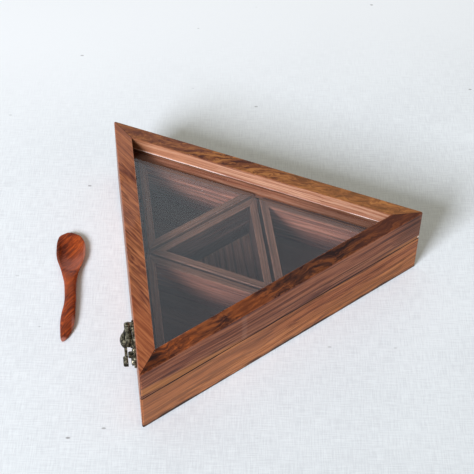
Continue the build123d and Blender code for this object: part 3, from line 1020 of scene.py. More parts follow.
class GeometryTree(Group):
    """A Geometry Nodes tree that turns a source mesh into one kind of fine piece."""

    form = "GeometryNodeTree"
    gives = {"Geometry": Kind.GEOMETRY}

    def __init__(self) -> None:
        """Put the geometry before the tree's own inputs and the material after them."""
        self.takes = {Kind.GEOMETRY: {"Geometry": None}, **self.takes, Kind.MATERIAL: {"Material": None}}
        super().__init__()

    def close(self, pieces: Socket) -> None:
        """End the tree in Realize Instances and Set Material."""
        real = self.first("GeometryNodeRealizeInstances", pieces)
        coated = self.node("GeometryNodeSetMaterial", {"Geometry": real, "Material": self.ask["Material"]})
        self.give(Geometry=coated.outputs[0])

    def evenly(self, pitch: object) -> Socket:
        """The source's line of edges as a curve, with points at an even pitch."""
        values = {"Curve": self.first("GeometryNodeMeshToCurve", self.ask["Geometry"]), "Length": pitch}
        return self.node("GeometryNodeResampleCurve", values, mode="LENGTH").outputs[0]

    def chance(self, low: object, high: object, seed: Socket) -> Socket:
        """A random number between two."""
        values = {2: low, 3: high, "Seed": seed}
        return self.node("FunctionNodeRandomValue", values, data_type="FLOAT").outputs[1]

    def chances(self, low: Point, high: Point, seed: Socket | None = None) -> Socket:
        """Three random numbers, each between two."""
        values = {0: low, 1: high, "Seed": seed}
        return self.node("FunctionNodeRandomValue", values, data_type="FLOAT_VECTOR").outputs[0]

    def copies(self, **values: object) -> Socket:
        """Copies of one piece on many points."""
        return self.node("GeometryNodeInstanceOnPoints", values).outputs[0]

    def run(self, name: str, source: bpy.types.Object, **values: object) -> bpy.types.Object:
        """Run the tree on an object and keep the result as a plain mesh.

        Args:
            name: The new piece's name.
            source: The object that the tree starts from. It is deleted.
            values: The tree's inputs.

        Returns:
            The new piece.
        """
        modifier = source.modifiers.new("tree", "NODES")
        modifier.node_group = self.tree
        for key, value in values.items():
            modifier[self.ids[key]] = value
        mesh = done_mesh(source)
        bpy.data.objects.remove(source)
        return mesh_object(name, mesh)


class FastenerTree(GeometryTree):
    """Sets one fastener on each point, facing one way, each with its own spin."""

    title = "set_fasteners"
    takes = {
        Kind.OBJECT: {"Fastener": None},
        Kind.ROTATION: {"Facing": None},
        Kind.NUMBER: {"Spin": 3.0},
        Kind.WHOLE: {"Seed": 4},
    }

    def draw(self) -> None:
        """Write the copies and their spin."""
        ask = self.ask
        model = self.node("GeometryNodeObjectInfo", {"Object": ask["Fastener"]}, transform_space="ORIGINAL")
        points = self.node("GeometryNodeMeshToPoints", {"Mesh": ask["Geometry"]}).outputs[0]
        copies = self.copies(Points=points, Instance=model.outputs["Geometry"], Rotation=ask["Facing"])
        spin = self.join(0.0, 0.0, self.chance(0.0, ask["Spin"], ask["Seed"]))
        values = {"Instances": copies, "Rotation": spin, "Local Space": True}
        self.close(self.node("GeometryNodeRotateInstances", values).outputs[0])


class BeadTree(GeometryTree):
    """Sets a row of beads along a line."""

    title = "bead_row"
    takes = {Kind.NUMBER: {"Radius": 0.0004, "Pitch": 0.001, "Uneven": 0.15}, Kind.WHOLE: {"Seed": 2}}
    subdivisions = 2

    def draw(self) -> None:
        """Write the row."""
        ask = self.ask
        bead = self.first("GeometryNodeMeshIcoSphere", ask["Radius"], self.subdivisions)
        bead = self.first("GeometryNodeSetShadeSmooth", bead)
        size = self.chance(self.less(1.0, ask["Uneven"]), 1.0, ask["Seed"])
        self.close(self.copies(Points=self.evenly(ask["Pitch"]), Instance=bead, Scale=size))


class DustTree(GeometryTree):
    """Scatters flat specks over a surface."""

    title = "dust_specks"
    takes = {Kind.NUMBER: {"Density": 3000.0, "Radius": 0.0002}, Kind.WHOLE: {"Seed": 7}}
    subdivisions = 1
    smallest = (0.35, 0.35, 0.25)
    largest = (1.5, 1.0, 0.6)
    full_turn = (0.0, 0.0, 6.28)

    def draw(self) -> None:
        """Write the specks."""
        ask = self.ask
        values = {"Mesh": ask["Geometry"], "Density": ask["Density"], "Seed": ask["Seed"]}
        self.close(self.copies(
            Points=self.node("GeometryNodeDistributePointsOnFaces", values).outputs[0],
            Instance=self.first("GeometryNodeMeshIcoSphere", ask["Radius"], self.subdivisions),
            Rotation=self.chances((0.0, 0.0, 0.0), self.full_turn),
            Scale=self.chances(self.smallest, self.largest, ask["Seed"]),
        ))


class PuttyTree(GeometryTree):
    """Runs a thin uneven bead of putty along a line."""

    title = "putty_bead"
    takes = {Kind.NUMBER: {"Radius": 0.0003, "Uneven": 0.5}}
    pitch = 0.0012
    lumps_per_metre = 140.0
    around = 8

    def draw(self) -> None:
        """Write the bead."""
        ask = self.ask
        where = self.first("GeometryNodeInputPosition")
        values = {"Vector": where, "Scale": self.lumps_per_metre, "Detail": 2.0}
        lump = self.less(self.node("ShaderNodeTexNoise", values).outputs[0], 0.5)
        swell = self.times_plus(lump, self.times(ask["Uneven"], 2.0), 1.0)
        values = {"Resolution": self.around, "Radius": ask["Radius"]}
        ring = self.node("GeometryNodeCurvePrimitiveCircle", values).outputs[0]
        values = {"Curve": self.evenly(self.pitch), "Profile Curve": ring, "Scale": swell}
        tube = self.node("GeometryNodeCurveToMesh", values).outputs[0]
        self.close(self.first("GeometryNodeSetShadeSmooth", tube))


# Sub-assemblies


@dataclass
class Workshop:
    """What every sub-assembly shares: the shader groups and the trees."""

    effects: Effects
    fasteners: FastenerTree
    beads: BeadTree
    specks: DustTree
    putty: PuttyTree

    def finish_piece(self, piece: bpy.types.Object, body: str, slot: Slot, *nodes: str) -> None:
        """Hang a finished piece on its body.

        Args:
            piece: The finished piece.
            body: The CAD body that it rides on.
            slot: The record's material slot. It is not used.
            nodes: The CAD nodes that it stands for.
        """
        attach(piece, body)
        if nodes:
            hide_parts(*nodes)
        log.info("%s rides on %s with %d faces", piece.name, body, len(piece.data.polygons))


@dataclass
class BoxShell:
    """The six mitred boards of the base and the lid, and the panel under them."""

    inradius: float = 0.065818
    cavity: float = 0.054818
    base_top: float = 0.02885
    height: float = 0.0525
    ease: float = 0.00025
    # painted shade along the seam of lid and base; the base also has a painted contact shadow at its foot
    lid_seam_shade: tuple[Span, ...] = ((29.15, 0.55),)
    base_seam_and_foot_shade: tuple[Span, ...] = ((28.85, 0.6), (0.0, 3.2))

    def tops(self) -> dict[str, Figure]:
        """Figure the tops of the lid rails.

        Returns:
            The figure of each top, by the rail's side.
        """
        front = Figure(
            (158, 82, 38), (102, 52, 29), (58, 28, 19), along=22.0, band=13.0, line=3.0, wander=5.0,
            burl=0.14, contrast=1.1, veins=0.3, seed=3.0, patches=(
                Patch((120, 108, 100), x=(84.0, 97.0), amount=0.85, ripple=0.4),
                Patch((204, 218, 246), x=(78.0, 62.0), amount=0.9, ripple=0.3),
                Patch((196, 206, 214), x=(18.0, -8.0), amount=0.6),
                Stain((158, 80, 32), x=(50.0, 60.0), x_end=(80.0, 90.0), amount=0.12, ripple=0.5),
                Stain((158, 80, 32), x=(14.0, 24.0), x_end=(40.0, 46.0), amount=0.3, ripple=0.5),
                Stain((106, 56, 36), x=(-50.0, -78.0), amount=0.4),
            ),
        )
        back = Figure(
            (168, 110, 62), (122, 72, 44), (74, 39, 30), along=26.0, band=8.0, line=2.0, wander=8.0,
            burl=0.13, skew=-0.2, veins=0.35, seed=12.0, patches=(
                Stain((132, 84, 66), x=(-34.0, -62.0), amount=0.3),
                Stain((180, 122, 68), x=(0.0, 52.0), amount=0.3),
            ),
        )
        left = Figure(
            (176, 112, 72), (143, 84, 55), (98, 52, 38), along=36.0, band=4.0, line=1.3, wander=3.0,
            skew=-0.62, veins=0.6, seed=2.0, patches=(
                Stain((176, 118, 92), x=(58.0, 84.0), amount=0.35),
                Stain((176, 122, 98), x=(6.0, 20.0), x_end=(46.0, 60.0), amount=0.2),
                Stain((158, 82, 44), x=(-46.0, -72.0), amount=0.34),
            ),
        )
        return {"right": front, "back": back, "left": left}

    def finishes(self) -> dict[str, Rosewood]:
        """Choose the finishes.

        Returns:
            The finish of each board, by its node.
        """
        gold = (196, 128, 66)
        lid_side = Figure(
            (160, 104, 72), (128, 76, 53), (88, 50, 40), band=5.0, line=1.5, wander=1.0, contrast=1.3,
            seed=4.0,
        )
        base_side = Figure(
            (188, 118, 68), (158, 92, 50), (112, 62, 38), along=80.0, band=4.0, line=1.5, wander=1.8,
            slope=0.012, contrast=1.35, veins=0.62, seed=5.0,
        )
        back_inside = Figure(
            (212, 166, 136), (182, 127, 97), (130, 80, 60), along=110.0, band=4.0, line=1.3, wander=1.2,
            contrast=0.8, veins=0.2, seed=9.0, patches=(
                # below the glass the inner wall is darkened, more so right of the middle: painted shade
                # inside the box
                Patch((214, 186, 184), z_end=(39.5, 40.5), ripple=0.0),
                Patch((186, 186, 190), x=(10.0, 60.0), z_end=(39.5, 40.5), ripple=0.1),
                # darker towards the left end: a painted shadow cast by the left rail
                Patch((150, 132, 120), x=(-76.0, -92.0), amount=0.8, ripple=0.2),
                Stain((226, 152, 104), x=(-24.0, -60.0), z=(39.5, 40.5), amount=0.2, ripple=0.1),
                Patch((226, 216, 210), x=(20.0, 70.0), z=(39.5, 40.5), amount=0.8, ripple=0.1),
            ),
        )
        front_lid = replace(lid_side, patches=(
            Patch((230, 214, 214), z=(36.0, 41.0), amount=0.8, ripple=0.4),
            Stain(
                gold, x=(22.0, 48.0), z=(20.0, 21.0), z_end=(25.2, 28.0), amount=0.45, slope=-0.1, ripple=0.25
            ),
            Patch((176, 176, 188), x=(-82.0, -106.0), z=(35.0, 39.0), amount=0.8, ripple=0.2),
            Stain(gold, x=(-70.0, -90.0), z_end=(30.5, 33.0), amount=0.3, ripple=0.3),
            Stain((196, 156, 136), x=(32.5, 34.5), x_end=(36.0, 38.5), amount=0.09, ripple=0.04),
            # a thin pale notch at the end of the board just above the seam: a painted highlight where lid and
            # base part
            Stain((232, 218, 204), x=(-110.9, -111.7), z_end=(30.9, 31.5), ripple=0.0),
        ))
        front_base = replace(base_side, patches=(
            Patch((214, 196, 204), z=(13.0, 18.0), z_end=(24.0, 27.0), amount=0.7, ripple=0.8),
            Stain((196, 134, 92), x=(-20.0, 40.0), amount=0.26),
            Stain(gold, x=(-10.0, -40.0), z_end=(9.0, 15.0), amount=0.15),
        ))
        tops = self.tops()
        return {
            "base_wall_back": Rosewood(base_side, base_side, back_inside, self.base_seam_and_foot_shade),
            "base_wall_left": Rosewood(base_side, base_side, base_side, self.base_seam_and_foot_shade),
            "base_wall_right": Rosewood(front_base, base_side, base_side, self.base_seam_and_foot_shade),
            "lid_rail_back": Rosewood(lid_side, tops["back"], back_inside, self.lid_seam_shade),
            "lid_rail_left": Rosewood(lid_side, tops["left"], lid_side, self.lid_seam_shade),
            "lid_rail_right": Rosewood(front_lid, tops["right"], lid_side, self.lid_seam_shade),
        }

    def space(self, node: str) -> BoardSpace:
        """The space of one board.

        Args:
            node: The board's node.

        Returns:
            The space.
        """
        side = Side[node.rsplit("_", 1)[1].upper()]
        covered = node.startswith("base")
        top = self.base_top if covered else self.height
        return BoardSpace(side, self.inradius, self.cavity, top, covered=covered)

    def build(self, shop: Workshop) -> None:
        """Dress the boards and the panel.

        Args:
            shop: What the sub-assemblies share.
        """
        for node, finish in self.finishes().items():
            board = dress(node, finish.material(node + "_rosewood", shop.effects, self.space(node)))
            soften(board, self.ease)
        sheet = Figure(
            (150, 98, 72), (118, 74, 54), (74, 44, 34), along=120.0, band=9.0, line=1.8, wander=5.0,
            veins=0.3, seed=21.0,
        )
        board = Rosewood(sheet, sheet, sheet, joint=0.0, wear=0.0)
        dress("base_panel", board.material("panel_rosewood", shop.effects, BoardSpace(Side.BACK)))


@dataclass
class LidGlass:
    """The pane, the thin bead of putty along its edge, whose pale colour is a painted highlight of the glass
    edge, and the dust on it.
    """

    cavity: float = 0.054818
    top: float = 0.043
    putty_radius: float = 0.00028
    putty_uneven: float = 0.8
    dust_density: float = 1100.0
    dust_radius: float = 0.00026
    dust_seed: int = 11
    dust_margin: float = 0.001
    dust_lift: float = 0.00004

    def corners(self, inradius: float, height: float) -> list[Point]:
        """The corners of a triangle that points the way the box does.

        Args:
            inradius: How far its sides are from its middle.
            height: How high it lies.

        Returns:
            The three corners.
        """
        turns = [radians(side.value - 60.0) for side in Side]
        return [(2.0 * inradius * cos(turn), 2.0 * inradius * sin(turn), height) for turn in turns]

    def putty_and_highlight(self) -> Chalky:
        """Choose the putty's finish.

        Returns:
            Pale putty, its pale colour a painted highlight along the glass edge, rosy over parts of its
            length.
        """
        rosy = (172, 116, 92)
        return Chalky((244, 220, 208), (204, 172, 158), 0.35, patches=(
            Stain(rosy, x=(-34.0, -18.0), x_end=(62.0, 72.0), amount=0.85, ripple=0.2),
            Stain(rosy, x=(84.0, 90.0), amount=0.85, ripple=0.1),
            Stain(rosy, x=(-84.0, -92.0), amount=0.85, ripple=0.1),
        ))

    def build(self, shop: Workshop) -> None:
        """Dress the pane and add what lies on it.

        Args:
            shop: What the sub-assemblies share.
        """
        dress("glass_pane", ClearGlass().material("clear_glass"))
        path = self.corners(self.cavity - 0.6 * self.putty_radius, self.top + 0.4 * self.putty_radius)
        # the bead's pale colour stands as a painted highlight along the glass edge
        bead = shop.putty.run(
            "glass_putty", bare_object(path, [(0, 1), (1, 2), (2, 0)]), Radius=self.putty_radius,
            Uneven=self.putty_uneven, Material=self.putty_and_highlight().material("putty"),
        )
        shop.finish_piece(bead, "lid", Slot.GLASS)
        face = self.corners(self.cavity - self.dust_margin, self.top + self.dust_lift)
        specks = shop.specks.run(
            "glass_dust", bare_object(face, faces=[(0, 1, 2)]), Density=self.dust_density,
            Radius=self.dust_radius, Seed=self.dust_seed,
            Material=Chalky((225, 225, 222), (170, 170, 168), 0.8).material("dust"),
        )
        shop.finish_piece(specks, "lid", Slot.GLASS)


@dataclass
class TraySet:
    """The four loose trays."""

    inradius: float = 0.025309
    wall: float = 0.005
    top: float = 0.035
    ease: float = 0.0002
    centres: dict[str, Span] = field(default_factory=lambda: {
        "left": (-0.045374, 0.027199),
        "right": (0.046907, 0.025204),
        "front": (-0.00126, -0.052613),
        "centre": (0.0, 0.0),
    })

    def figures(self, tray: str, seed: float) -> tuple[Figure, Figure, Figure]:
        """The figures of one tray.

        Args:
            tray: Which tray it is. The centre one is painted darker inside, as shade, on a paler floor.
            seed: Where its grain is read.

        Returns:
            The figures of its rims, of its walls, painted lighter as lit, and of its floor, painted dark as
            shade, less so in the centre tray.
        """
        rim = Figure(
            (134, 92, 74), (102, 68, 56), (62, 40, 36), along=160.0, band=3.5, line=1.0, wander=1.0,
            contrast=0.6, veins=0.15, seed=seed,
        )
        # the inner walls' figure, painted lighter as lit
        wall_light_and_shade = Figure(
            (188, 122, 100), (136, 84, 70), (88, 53, 45), band=2.5, line=1.3, wander=1.2, contrast=0.66,
            veins=0.25, seed=seed + 1.0,
        )
        # the floor, painted dark as the shade deep in the tray
        floor = Figure(
            (66, 50, 44), (52, 39, 35), (40, 31, 29), band=6.0, line=2.4, wander=1.0, contrast=0.6, veins=0.1,
            seed=seed + 2.0,
        )
        if tray == "centre":
            # the centre tray's walls, painted darker as shade
            wall_light_and_shade = replace(wall_light_and_shade, light=(104, 72, 64), middle=(72, 48, 43), dark=(42, 30, 28))
            floor = replace(rim, light=(122, 84, 68), middle=(84, 57, 48), dark=(44, 30, 28), line=1.4)
        return rim, wall_light_and_shade, floor

    def build(self, shop: Workshop) -> None:
        """Dress each tray's walls and floor.

        Args:
            shop: What the sub-assemblies share.
        """
        # painted shade: the inner walls darken towards the floor
        shade = Patch((112, 112, 122), z=(26.0, 11.0), amount=0.95, ripple=0.0)
        for number, (tray, centre) in enumerate(self.centres.items()):
            point_up = tray == "centre"
            rim, wall_light_and_shade, bed = self.figures(tray, 31.0 + 3.0 * number)
            for side, away in ((Side.BACK, "front"), (Side.LEFT, "right"), (Side.RIGHT, "left")):
                node = f"tray_{tray}_wall_{away if point_up else side.name.lower()}"
                space = BoardSpace(side, self.inradius, self.inradius - self.wall, self.top, centre, point_up)
                finish = Rosewood(
                    wall_light_and_shade if point_up else rim, rim, replace(wall_light_and_shade, patches=(shade,)), worn=(166, 118, 100),
                    wear=0.5, rough=0.42, arris=0.6,
                )
                soften(dress(node, finish.material(node + "_rosewood", shop.effects, space)), self.ease)
            floor = Rosewood(bed, bed, bed, wear=0.0, joint=0.0, rough=0.5, bump=0.0)
            space = BoardSpace(Side.LEFT if point_up else Side.BACK, centre=centre)
            dress(f"tray_{tray}_floor", floor.material(f"tray_{tray}_floor_rosewood", shop.effects, space))


@dataclass
class HingePair:
    """Two butt hinges on the back wall, with their slotted screws."""

    inradius: float = 0.065818
    spacing: float = 0.12
    spread: float = 0.015
    rise: float = 0.0072
    seam: float = 0.029
    leaf: float = 0.001
    head: float = 0.0017
    head_depth: float = 0.0008
    around: int = 28
    slot_reach: float = 3.2
    slot_width: float = 0.00038
    slot_depth: float = 0.0007
    shank: float = 0.0008
    length: float = 0.0075
    point: float = 0.0018
    spin: float = 3.1
    ease: float = 0.00012

    def screw(self) -> bpy.types.Object:
        """One countersunk screw with a slot, head up.

        Returns:
            The screw, for the tree to copy.
        """
        made = mesh_of(lathe([
            (0.0, -self.length), (self.shank * 0.5, -self.length + self.point / 2.0),
            (self.shank, -self.length + self.point), (self.shank, -self.head_depth),
            (self.head * 0.97, -0.00008), (self.head, -0.00002), (self.head * 0.97, 0.0),
            (self.head * 0.6, 0.00003), (0.0, 0.00004),
        ], self.around), "screw_model")
        slot = bmesh.new()
        bmesh.ops.create_cube(slot, size=1.0)
        for vert in slot.verts:
            x, y, z = vert.co
            vert.co = (x * self.slot_reach * self.head, y * self.slot_width, z * self.slot_depth)
        cutter = mesh_of(slot, "slot_cutter")
        cut = made.modifiers.new("slot", "BOOLEAN")
        cut.object = cutter
        cut.operation = "DIFFERENCE"
        cut.solver = "EXACT"
        mesh = done_mesh(made)
        made.modifiers.clear()
        made.data = mesh
        bpy.data.objects.remove(cutter)
        return made

    def build(self, shop: Workshop) -> None:
        """Dress the leaves and pins, and set the screws.

        Args:
            shop: What the sub-assemblies share.
        """
        finish = Brass((196, 164, 104), (92, 74, 46), 0.35, 0.22, 0.12).material("hinge_brass", shop.effects)
        worn = Brass((150, 116, 62), (44, 34, 22), 0.6, 0.3, 0.2).material("screw_brass", shop.effects)
        for hand in ("left", "right"):
            dress(f"hinge_{hand}_pin", finish)
            for part in ("base_leaf", "lid_leaf"):
                soften(dress(f"hinge_{hand}_{part}", finish), self.ease, 40.0)
        model = self.screw()
        for body, sign, seed in (("base", -1.0, 8), ("lid", 1.0, 3)):
            spots: list[Point] = []
            nodes: list[str] = []
            height = self.seam + sign * self.rise
            for hand, middle in (("left", -self.spacing / 2.0), ("right", self.spacing / 2.0)):
                for number, way in ((1, -1.0), (2, 1.0)):
                    spots.append((middle + way * self.spread / 2.0, self.inradius + self.leaf, height))
                    nodes.append(f"hinge_{hand}_{body}_screw_{number}")
            screws = shop.fasteners.run(
                f"hinge_screws_{body}", bare_object(spots), Fastener=model, Spin=self.spin, Seed=seed,
                Facing=(-pi / 2.0, 0.0, 0.0), Material=worn,
            )
            shop.finish_piece(screws, body, Slot.HINGE, *nodes)
        bpy.data.objects.remove(model)


@dataclass
class Hasp:
    """The antique brass hasp on the left wall: plates, tongue, pin, catch, nails and bead borders.

    Spots and rows are in millimetres, across and up the plate from the hasp's own middle.
    """

    origin: Point = (-0.022, -0.093531, 0.029)
    plate: float = 0.0012
    spots: dict[str, tuple[Span, ...]] = field(default_factory=lambda: {
        "lid": ((-8.7, 4.6), (8.7, 4.6), (0.0, 15.6)),
        "base": ((-8.7, -3.7), (8.7, -3.7), (0.0, -15.4)),
    })
    rows: dict[str, tuple[Span, ...]] = field(default_factory=lambda: {
        "lid": ((-10.0, 2.6), (10.0, 2.6)),
        "base": ((-10.0, -11.0), (-10.0, -2.8), (10.0, -2.8), (10.0, -11.0)),
    })
    nail_head: float = 0.0018
    nail_rise: float = 0.0013
    nail_steps: tuple[float, ...] = (0.12, 0.35, 0.58, 0.78, 0.92)
    around: int = 20
    nail_point: float = 0.0012
    nail_length: float = 0.008
    shank: float = 0.0006
    spin: float = 3.1
    bead: float = 0.0004
    bead_pitch: float = 0.00095
    bead_uneven: float = 0.2
    ease: float = 0.00018

    def frame(self) -> Matrix:
        """The hasp's own frame: X towards the front corner, Y up, Z out of the wall."""
        axes = Matrix(((0.5, -ROOT3 / 2.0, 0.0), (0.0, 0.0, 1.0), (-ROOT3 / 2.0, -0.5, 0.0))).transposed()
        return Matrix.Translation(Vector(self.origin)) @ axes.to_4x4()

    def at(self, places: tuple[Span, ...]) -> list[Point]:
        """Places on the face of the plates, in the frame of the scene."""
        return [tuple(self.frame() @ Vector((x * MM, y * MM, self.plate))) for x, y in places]

    def nail(self) -> bpy.types.Object:
        """One domed nail, head up.

        Returns:
            The nail, for the tree to copy.
        """
        ball = (self.nail_head ** 2 + self.nail_rise ** 2) / (2.0 * self.nail_rise)
        heights = [self.nail_rise * step for step in self.nail_steps]
        dome = [(sqrt(max(ball ** 2 - (up + ball - self.nail_rise) ** 2, 0.0)), up) for up in heights]
        return mesh_of(lathe([
            (0.0, -self.nail_length), (self.shank, -self.nail_length + self.nail_point), (self.shank, 0.0),
            (self.nail_head * 0.97, 0.0), *dome, (0.0, self.nail_rise),
        ], self.around), "nail_model", True)

    def build(self, shop: Workshop) -> None:
        """Dress the hasp and add its nails and borders.

        Args:
            shop: What the sub-assemblies share.
        """
        finish = Brass((218, 206, 172), (44, 42, 33), 0.66, 0.16, 0.5, 1.1).material(
            "hasp_antique_brass", shop.effects
        )
        dress("hasp_pin", finish)
        for part in ("lid_plate", "base_plate", "tongue", "catch"):
            soften(dress(f"hasp_{part}", finish), self.ease, 40.0)
        model = self.nail()
        for body, spots in self.spots.items():
            nails = shop.fasteners.run(
                f"hasp_nails_{body}", bare_object(self.at(spots)), Fastener=model, Spin=self.spin,
                Seed=5, Facing=tuple(self.frame().to_euler("XYZ")), Material=finish,
            )
            shop.finish_piece(nails, body, Slot.HASP, *(f"hasp_{body}_nail_{number}" for number in (1, 2, 3)))
        bpy.data.objects.remove(model)
        for body, row in self.rows.items():
            edges = [(number, number + 1) for number in range(len(row) - 1)]
            beads = shop.beads.run(
                f"hasp_beads_{body}", bare_object(self.at(row), edges), Radius=self.bead,
                Pitch=self.bead_pitch, Uneven=self.bead_uneven, Seed=6, Material=finish,
            )
            shop.finish_piece(beads, body, Slot.HASP)


@dataclass
class Spoon:
    """The carved spoon, lying on the cloth. Lengths are in millimetres.

    A station has its place along the spoon, the half width there, how far it lies aside, the height of
    its middle and its half height.
    """

    start: Span = (-116.15, -3.4)
    heading: float = -65.5
    rings: int = 110
    around: int = 56
    rim_height: float = 4.2
    rim: float = 1.4
    floor: float = 1.2
    lip: float = 0.35
    lip_power: int = 6
    full_lip: float = 4.0
    least_inner: float = 0.4
    hollow: Span = (1.6, 35.0)
    hollow_slopes: Span = (3.2, 2.6)
    hollow_powers: tuple[float, float, float] = (0.7, 2.2, 0.85)
    shoulder: Span = (34.0, 46.0)
    stations: tuple[tuple[float, float, float, float, float], ...] = (
        (0.15, 1.6, -0.9, 3.9, 0.35), (1.0, 4.0, -0.6, 4.0, 1.1), (3.0, 6.9, -0.35, 4.1, 2.1),
        (6.0, 8.5, 0.05, 4.15, 3.0), (10.0, 9.6, 0.6, 4.2, 3.7), (15.0, 10.0, 0.95, 4.2, 4.1),
        (20.0, 9.9, 1.05, 4.2, 4.2), (25.0, 9.2, 1.15, 4.2, 4.1), (30.0, 7.8, 1.25, 4.2, 3.8),
        (34.0, 6.5, 1.35, 4.15, 3.5), (38.0, 5.6, 1.5, 4.0, 3.1), (42.0, 4.9, 1.8, 3.8, 2.7),
        (46.0, 4.3, 2.1, 3.7, 2.5), (52.0, 4.0, 2.45, 3.6, 2.35), (60.0, 3.95, 2.85, 3.4, 2.3),
        (66.0, 4.1, 2.75, 3.2, 2.3), (72.0, 4.6, 2.35, 3.0, 2.3), (78.0, 4.85, 2.05, 2.72, 2.25),
        (84.0, 4.55, 1.8, 2.35, 2.1), (88.0, 3.75, 1.3, 1.9, 1.8), (91.0, 2.9, 0.7, 1.45, 1.4),
        (93.5, 1.9, 0.1, 1.2, 1.0), (95.15, 0.7, -0.4, 1.0, 0.4),
    )
    figure: Figure = Figure(
        (178, 82, 34), (132, 56, 28), (86, 36, 22), along=60.0, band=3.0, line=1.1, wander=1.5, skew=0.75,
        contrast=0.85, veins=0.4, seed=41.0, patches=(
            Stain((172, 74, 14), x=(2.0, 5.0), x_end=(18.0, 28.0), y=(-6.0, 5.0), amount=0.3, ripple=0.2),
            Stain((180, 104, 80), x=(18.0, 28.0), x_end=(33.0, 37.0), amount=0.45, ripple=0.2),
            # painted shade over the left side of the bowl's hollow
            Patch((208, 202, 196), x=(3.0, 8.0), x_end=(28.0, 34.0), y=(2.0, -7.0), amount=0.9, ripple=0.1),
            # a painted highlight along the bowl's right rim
            Stain((216, 160, 140), x=(5.0, 9.0), x_end=(27.0, 31.0), y=(9.1, 10.3), amount=0.34, ripple=0.05),
            Stain((182, 88, 46), x=(36.0, 40.0), x_end=(52.0, 60.0), amount=0.25, ripple=0.2),
            Patch((232, 222, 222), x=(52.0, 72.0), x_end=(78.0, 84.0), amount=0.5, ripple=0.2),
            Patch((214, 210, 208), x=(82.0, 88.0), amount=0.9, ripple=0.2),
            # a painted highlight along the handle's right edge
            Stain((206, 150, 134), x=(74.0, 80.0), y=(4.3, 5.9), amount=0.35, ripple=0.05),
            # a pale worn tip, which also stands as a painted highlight
            Stain((206, 150, 134), x=(92.2, 94.0), amount=0.3, ripple=0.03),
        ),
    )
    dust: Screen = (220, 200, 180)

    def station(self, x: float) -> tuple[float, float, float, float]:
        """The spoon's measures at one place, on smooth curves through the stations.

        Args:
            x: How far along the spoon.

        Returns:
            Half width, place aside, middle and half height.
        """
        rows = self.stations
        number = max(index for index, row in enumerate(rows[:-1]) if row[0] <= x or index == 0)
        here = rows[number]
        after = rows[number + 1]
        before = rows[max(number - 1, 0)]
        beyond = rows[min(number + 2, len(rows) - 1)]
        run = after[0] - here[0]
        share = (x - here[0]) / run
        found: list[float] = []
        for item in (1, 2, 3, 4):
            leaving = run * (after[item] - before[item]) / (after[0] - before[0])
            coming = run * (beyond[item] - here[item]) / (beyond[0] - here[0])
            found.append(
                (2 * share ** 3 - 3 * share ** 2 + 1) * here[item]
                + (share ** 3 - 2 * share ** 2 + share) * leaving
                + (3 * share ** 2 - 2 * share ** 3) * after[item] + (share ** 3 - share ** 2) * coming
            )
        return tuple(found)

    def section(self, x: float) -> list[Point]:
        """The outline across the spoon, in order round it.

        Args:
            x: How far along the spoon.

        Returns:
            The outline's points.
        """
        half, aside, middle, tall = self.station(x)
        handle = min(max((x - self.shoulder[0]) / (self.shoulder[1] - self.shoulder[0]), 0.0), 1.0)
        handle = handle * handle * (3.0 - 2.0 * handle)
        run = min(max((x - self.hollow[0]) / (self.hollow[1] - self.hollow[0]), 0.0), 1.0)
        tip, heel = self.hollow_slopes
        along, across, rounded = self.hollow_powers
        dip = 0.0
        if 0.0 < run < 1.0:
            dip = (tall - self.floor) * min(1.0, tip * run, heel * (1.0 - run)) ** along
        inner = max(half - self.rim, self.least_inner)
        lip = self.lip * min(1.0, half / self.full_lip)
        edge = min(self.rim_height, middle + tall)
        outline: list[Point] = []
        for step in range(self.around):
            turn = 2.0 * pi * step / self.around
            y = half * cos(turn)
            oval = middle + tall * sin(turn)
            if sin(turn) >= 0.0:
                flat = edge - lip * (abs(cos(turn)) ** self.lip_power)
                bowl = flat - dip * max(1.0 - min(abs(y) / inner, 1.0) ** across, 0.0) ** rounded
            else:
                bowl = min(oval, edge - lip)
            outline.append((x, aside + y, bowl * (1.0 - handle) + oval * handle))
        return outline

    def shape(self) -> bpy.types.Object:
        """Loft the outlines into one closed skin.

        Returns:
            The spoon, in its place on the cloth.
        """
        first, last = self.stations[0][0], self.stations[-1][0]
        shares = [0.5 - 0.5 * cos(pi * ring / (self.rings - 1)) for ring in range(self.rings)]
        outlines = [self.section(first + (last - first) * share) for share in shares]
        build = bmesh.new()
        rows = [[build.verts.new(point) for point in outline] for outline in outlines]
        pairs = [(step, (step + 1) % self.around) for step in range(self.around)]
        for near, far in zip(rows, rows[1:]):
            for here, after in pairs:
                build.faces.new((near[here], near[after], far[after], far[here]))
        for row in (rows[0], rows[-1]):
            pole = build.verts.new(sum((vert.co for vert in row), Vector()) / len(row))
            for here, after in pairs:
                build.faces.new((row[here], row[after], pole))
        turn = Matrix.Rotation(radians(self.heading), 4, "Z")
        place = Matrix.Translation(Vector((*self.start, 0.0))) @ turn
        for vert in build.verts:
            vert.co = (place @ Vector((vert.co.x, vert.co.y, max(vert.co.z, 0.0)))) * MM
        return mesh_of(build, "carved_spoon", True)

    def material(self, effects: Effects) -> bpy.types.Material:
        """Polished red-orange rosewood with grain across the handle, and painted shade and highlights on the
        bowl and handle.

        Args:
            effects: The shared shader groups.

        Returns:
            The material.
        """
        coat = Coat("spoon_rosewood")
        where = coat.turned(radians(self.heading), (self.start[0] * MM, self.start[1] * MM))
        wood = self.figure.place(effects, coat, where)
        dust = effects.dust.place(coat, Vector=where, Specks=0.2, Smudge=0.5)
        coat.feed(coat.shader, {
            "Base Color": coat.blend(dust["Mask"], wood["Color"], srgb(self.dust)),
            "Roughness": coat.times_plus(dust["Smear"], 0.1, coat.times_plus(wood["Polish"], 0.1, 0.24)),
            "Specular IOR Level": 0.16,
        })
        coat.bump(wood["Height"], 0.12, 0.0004)
        return coat.material

    def build(self, shop: Workshop) -> None:
        """Shape and dress the spoon.

        Args:
            shop: What the sub-assemblies share.
        """
        piece = self.shape()
        piece.data.materials.append(self.material(shop.effects))
        shop.finish_piece(piece, "spoon", Slot.SPOON, "spoon")


# Studio


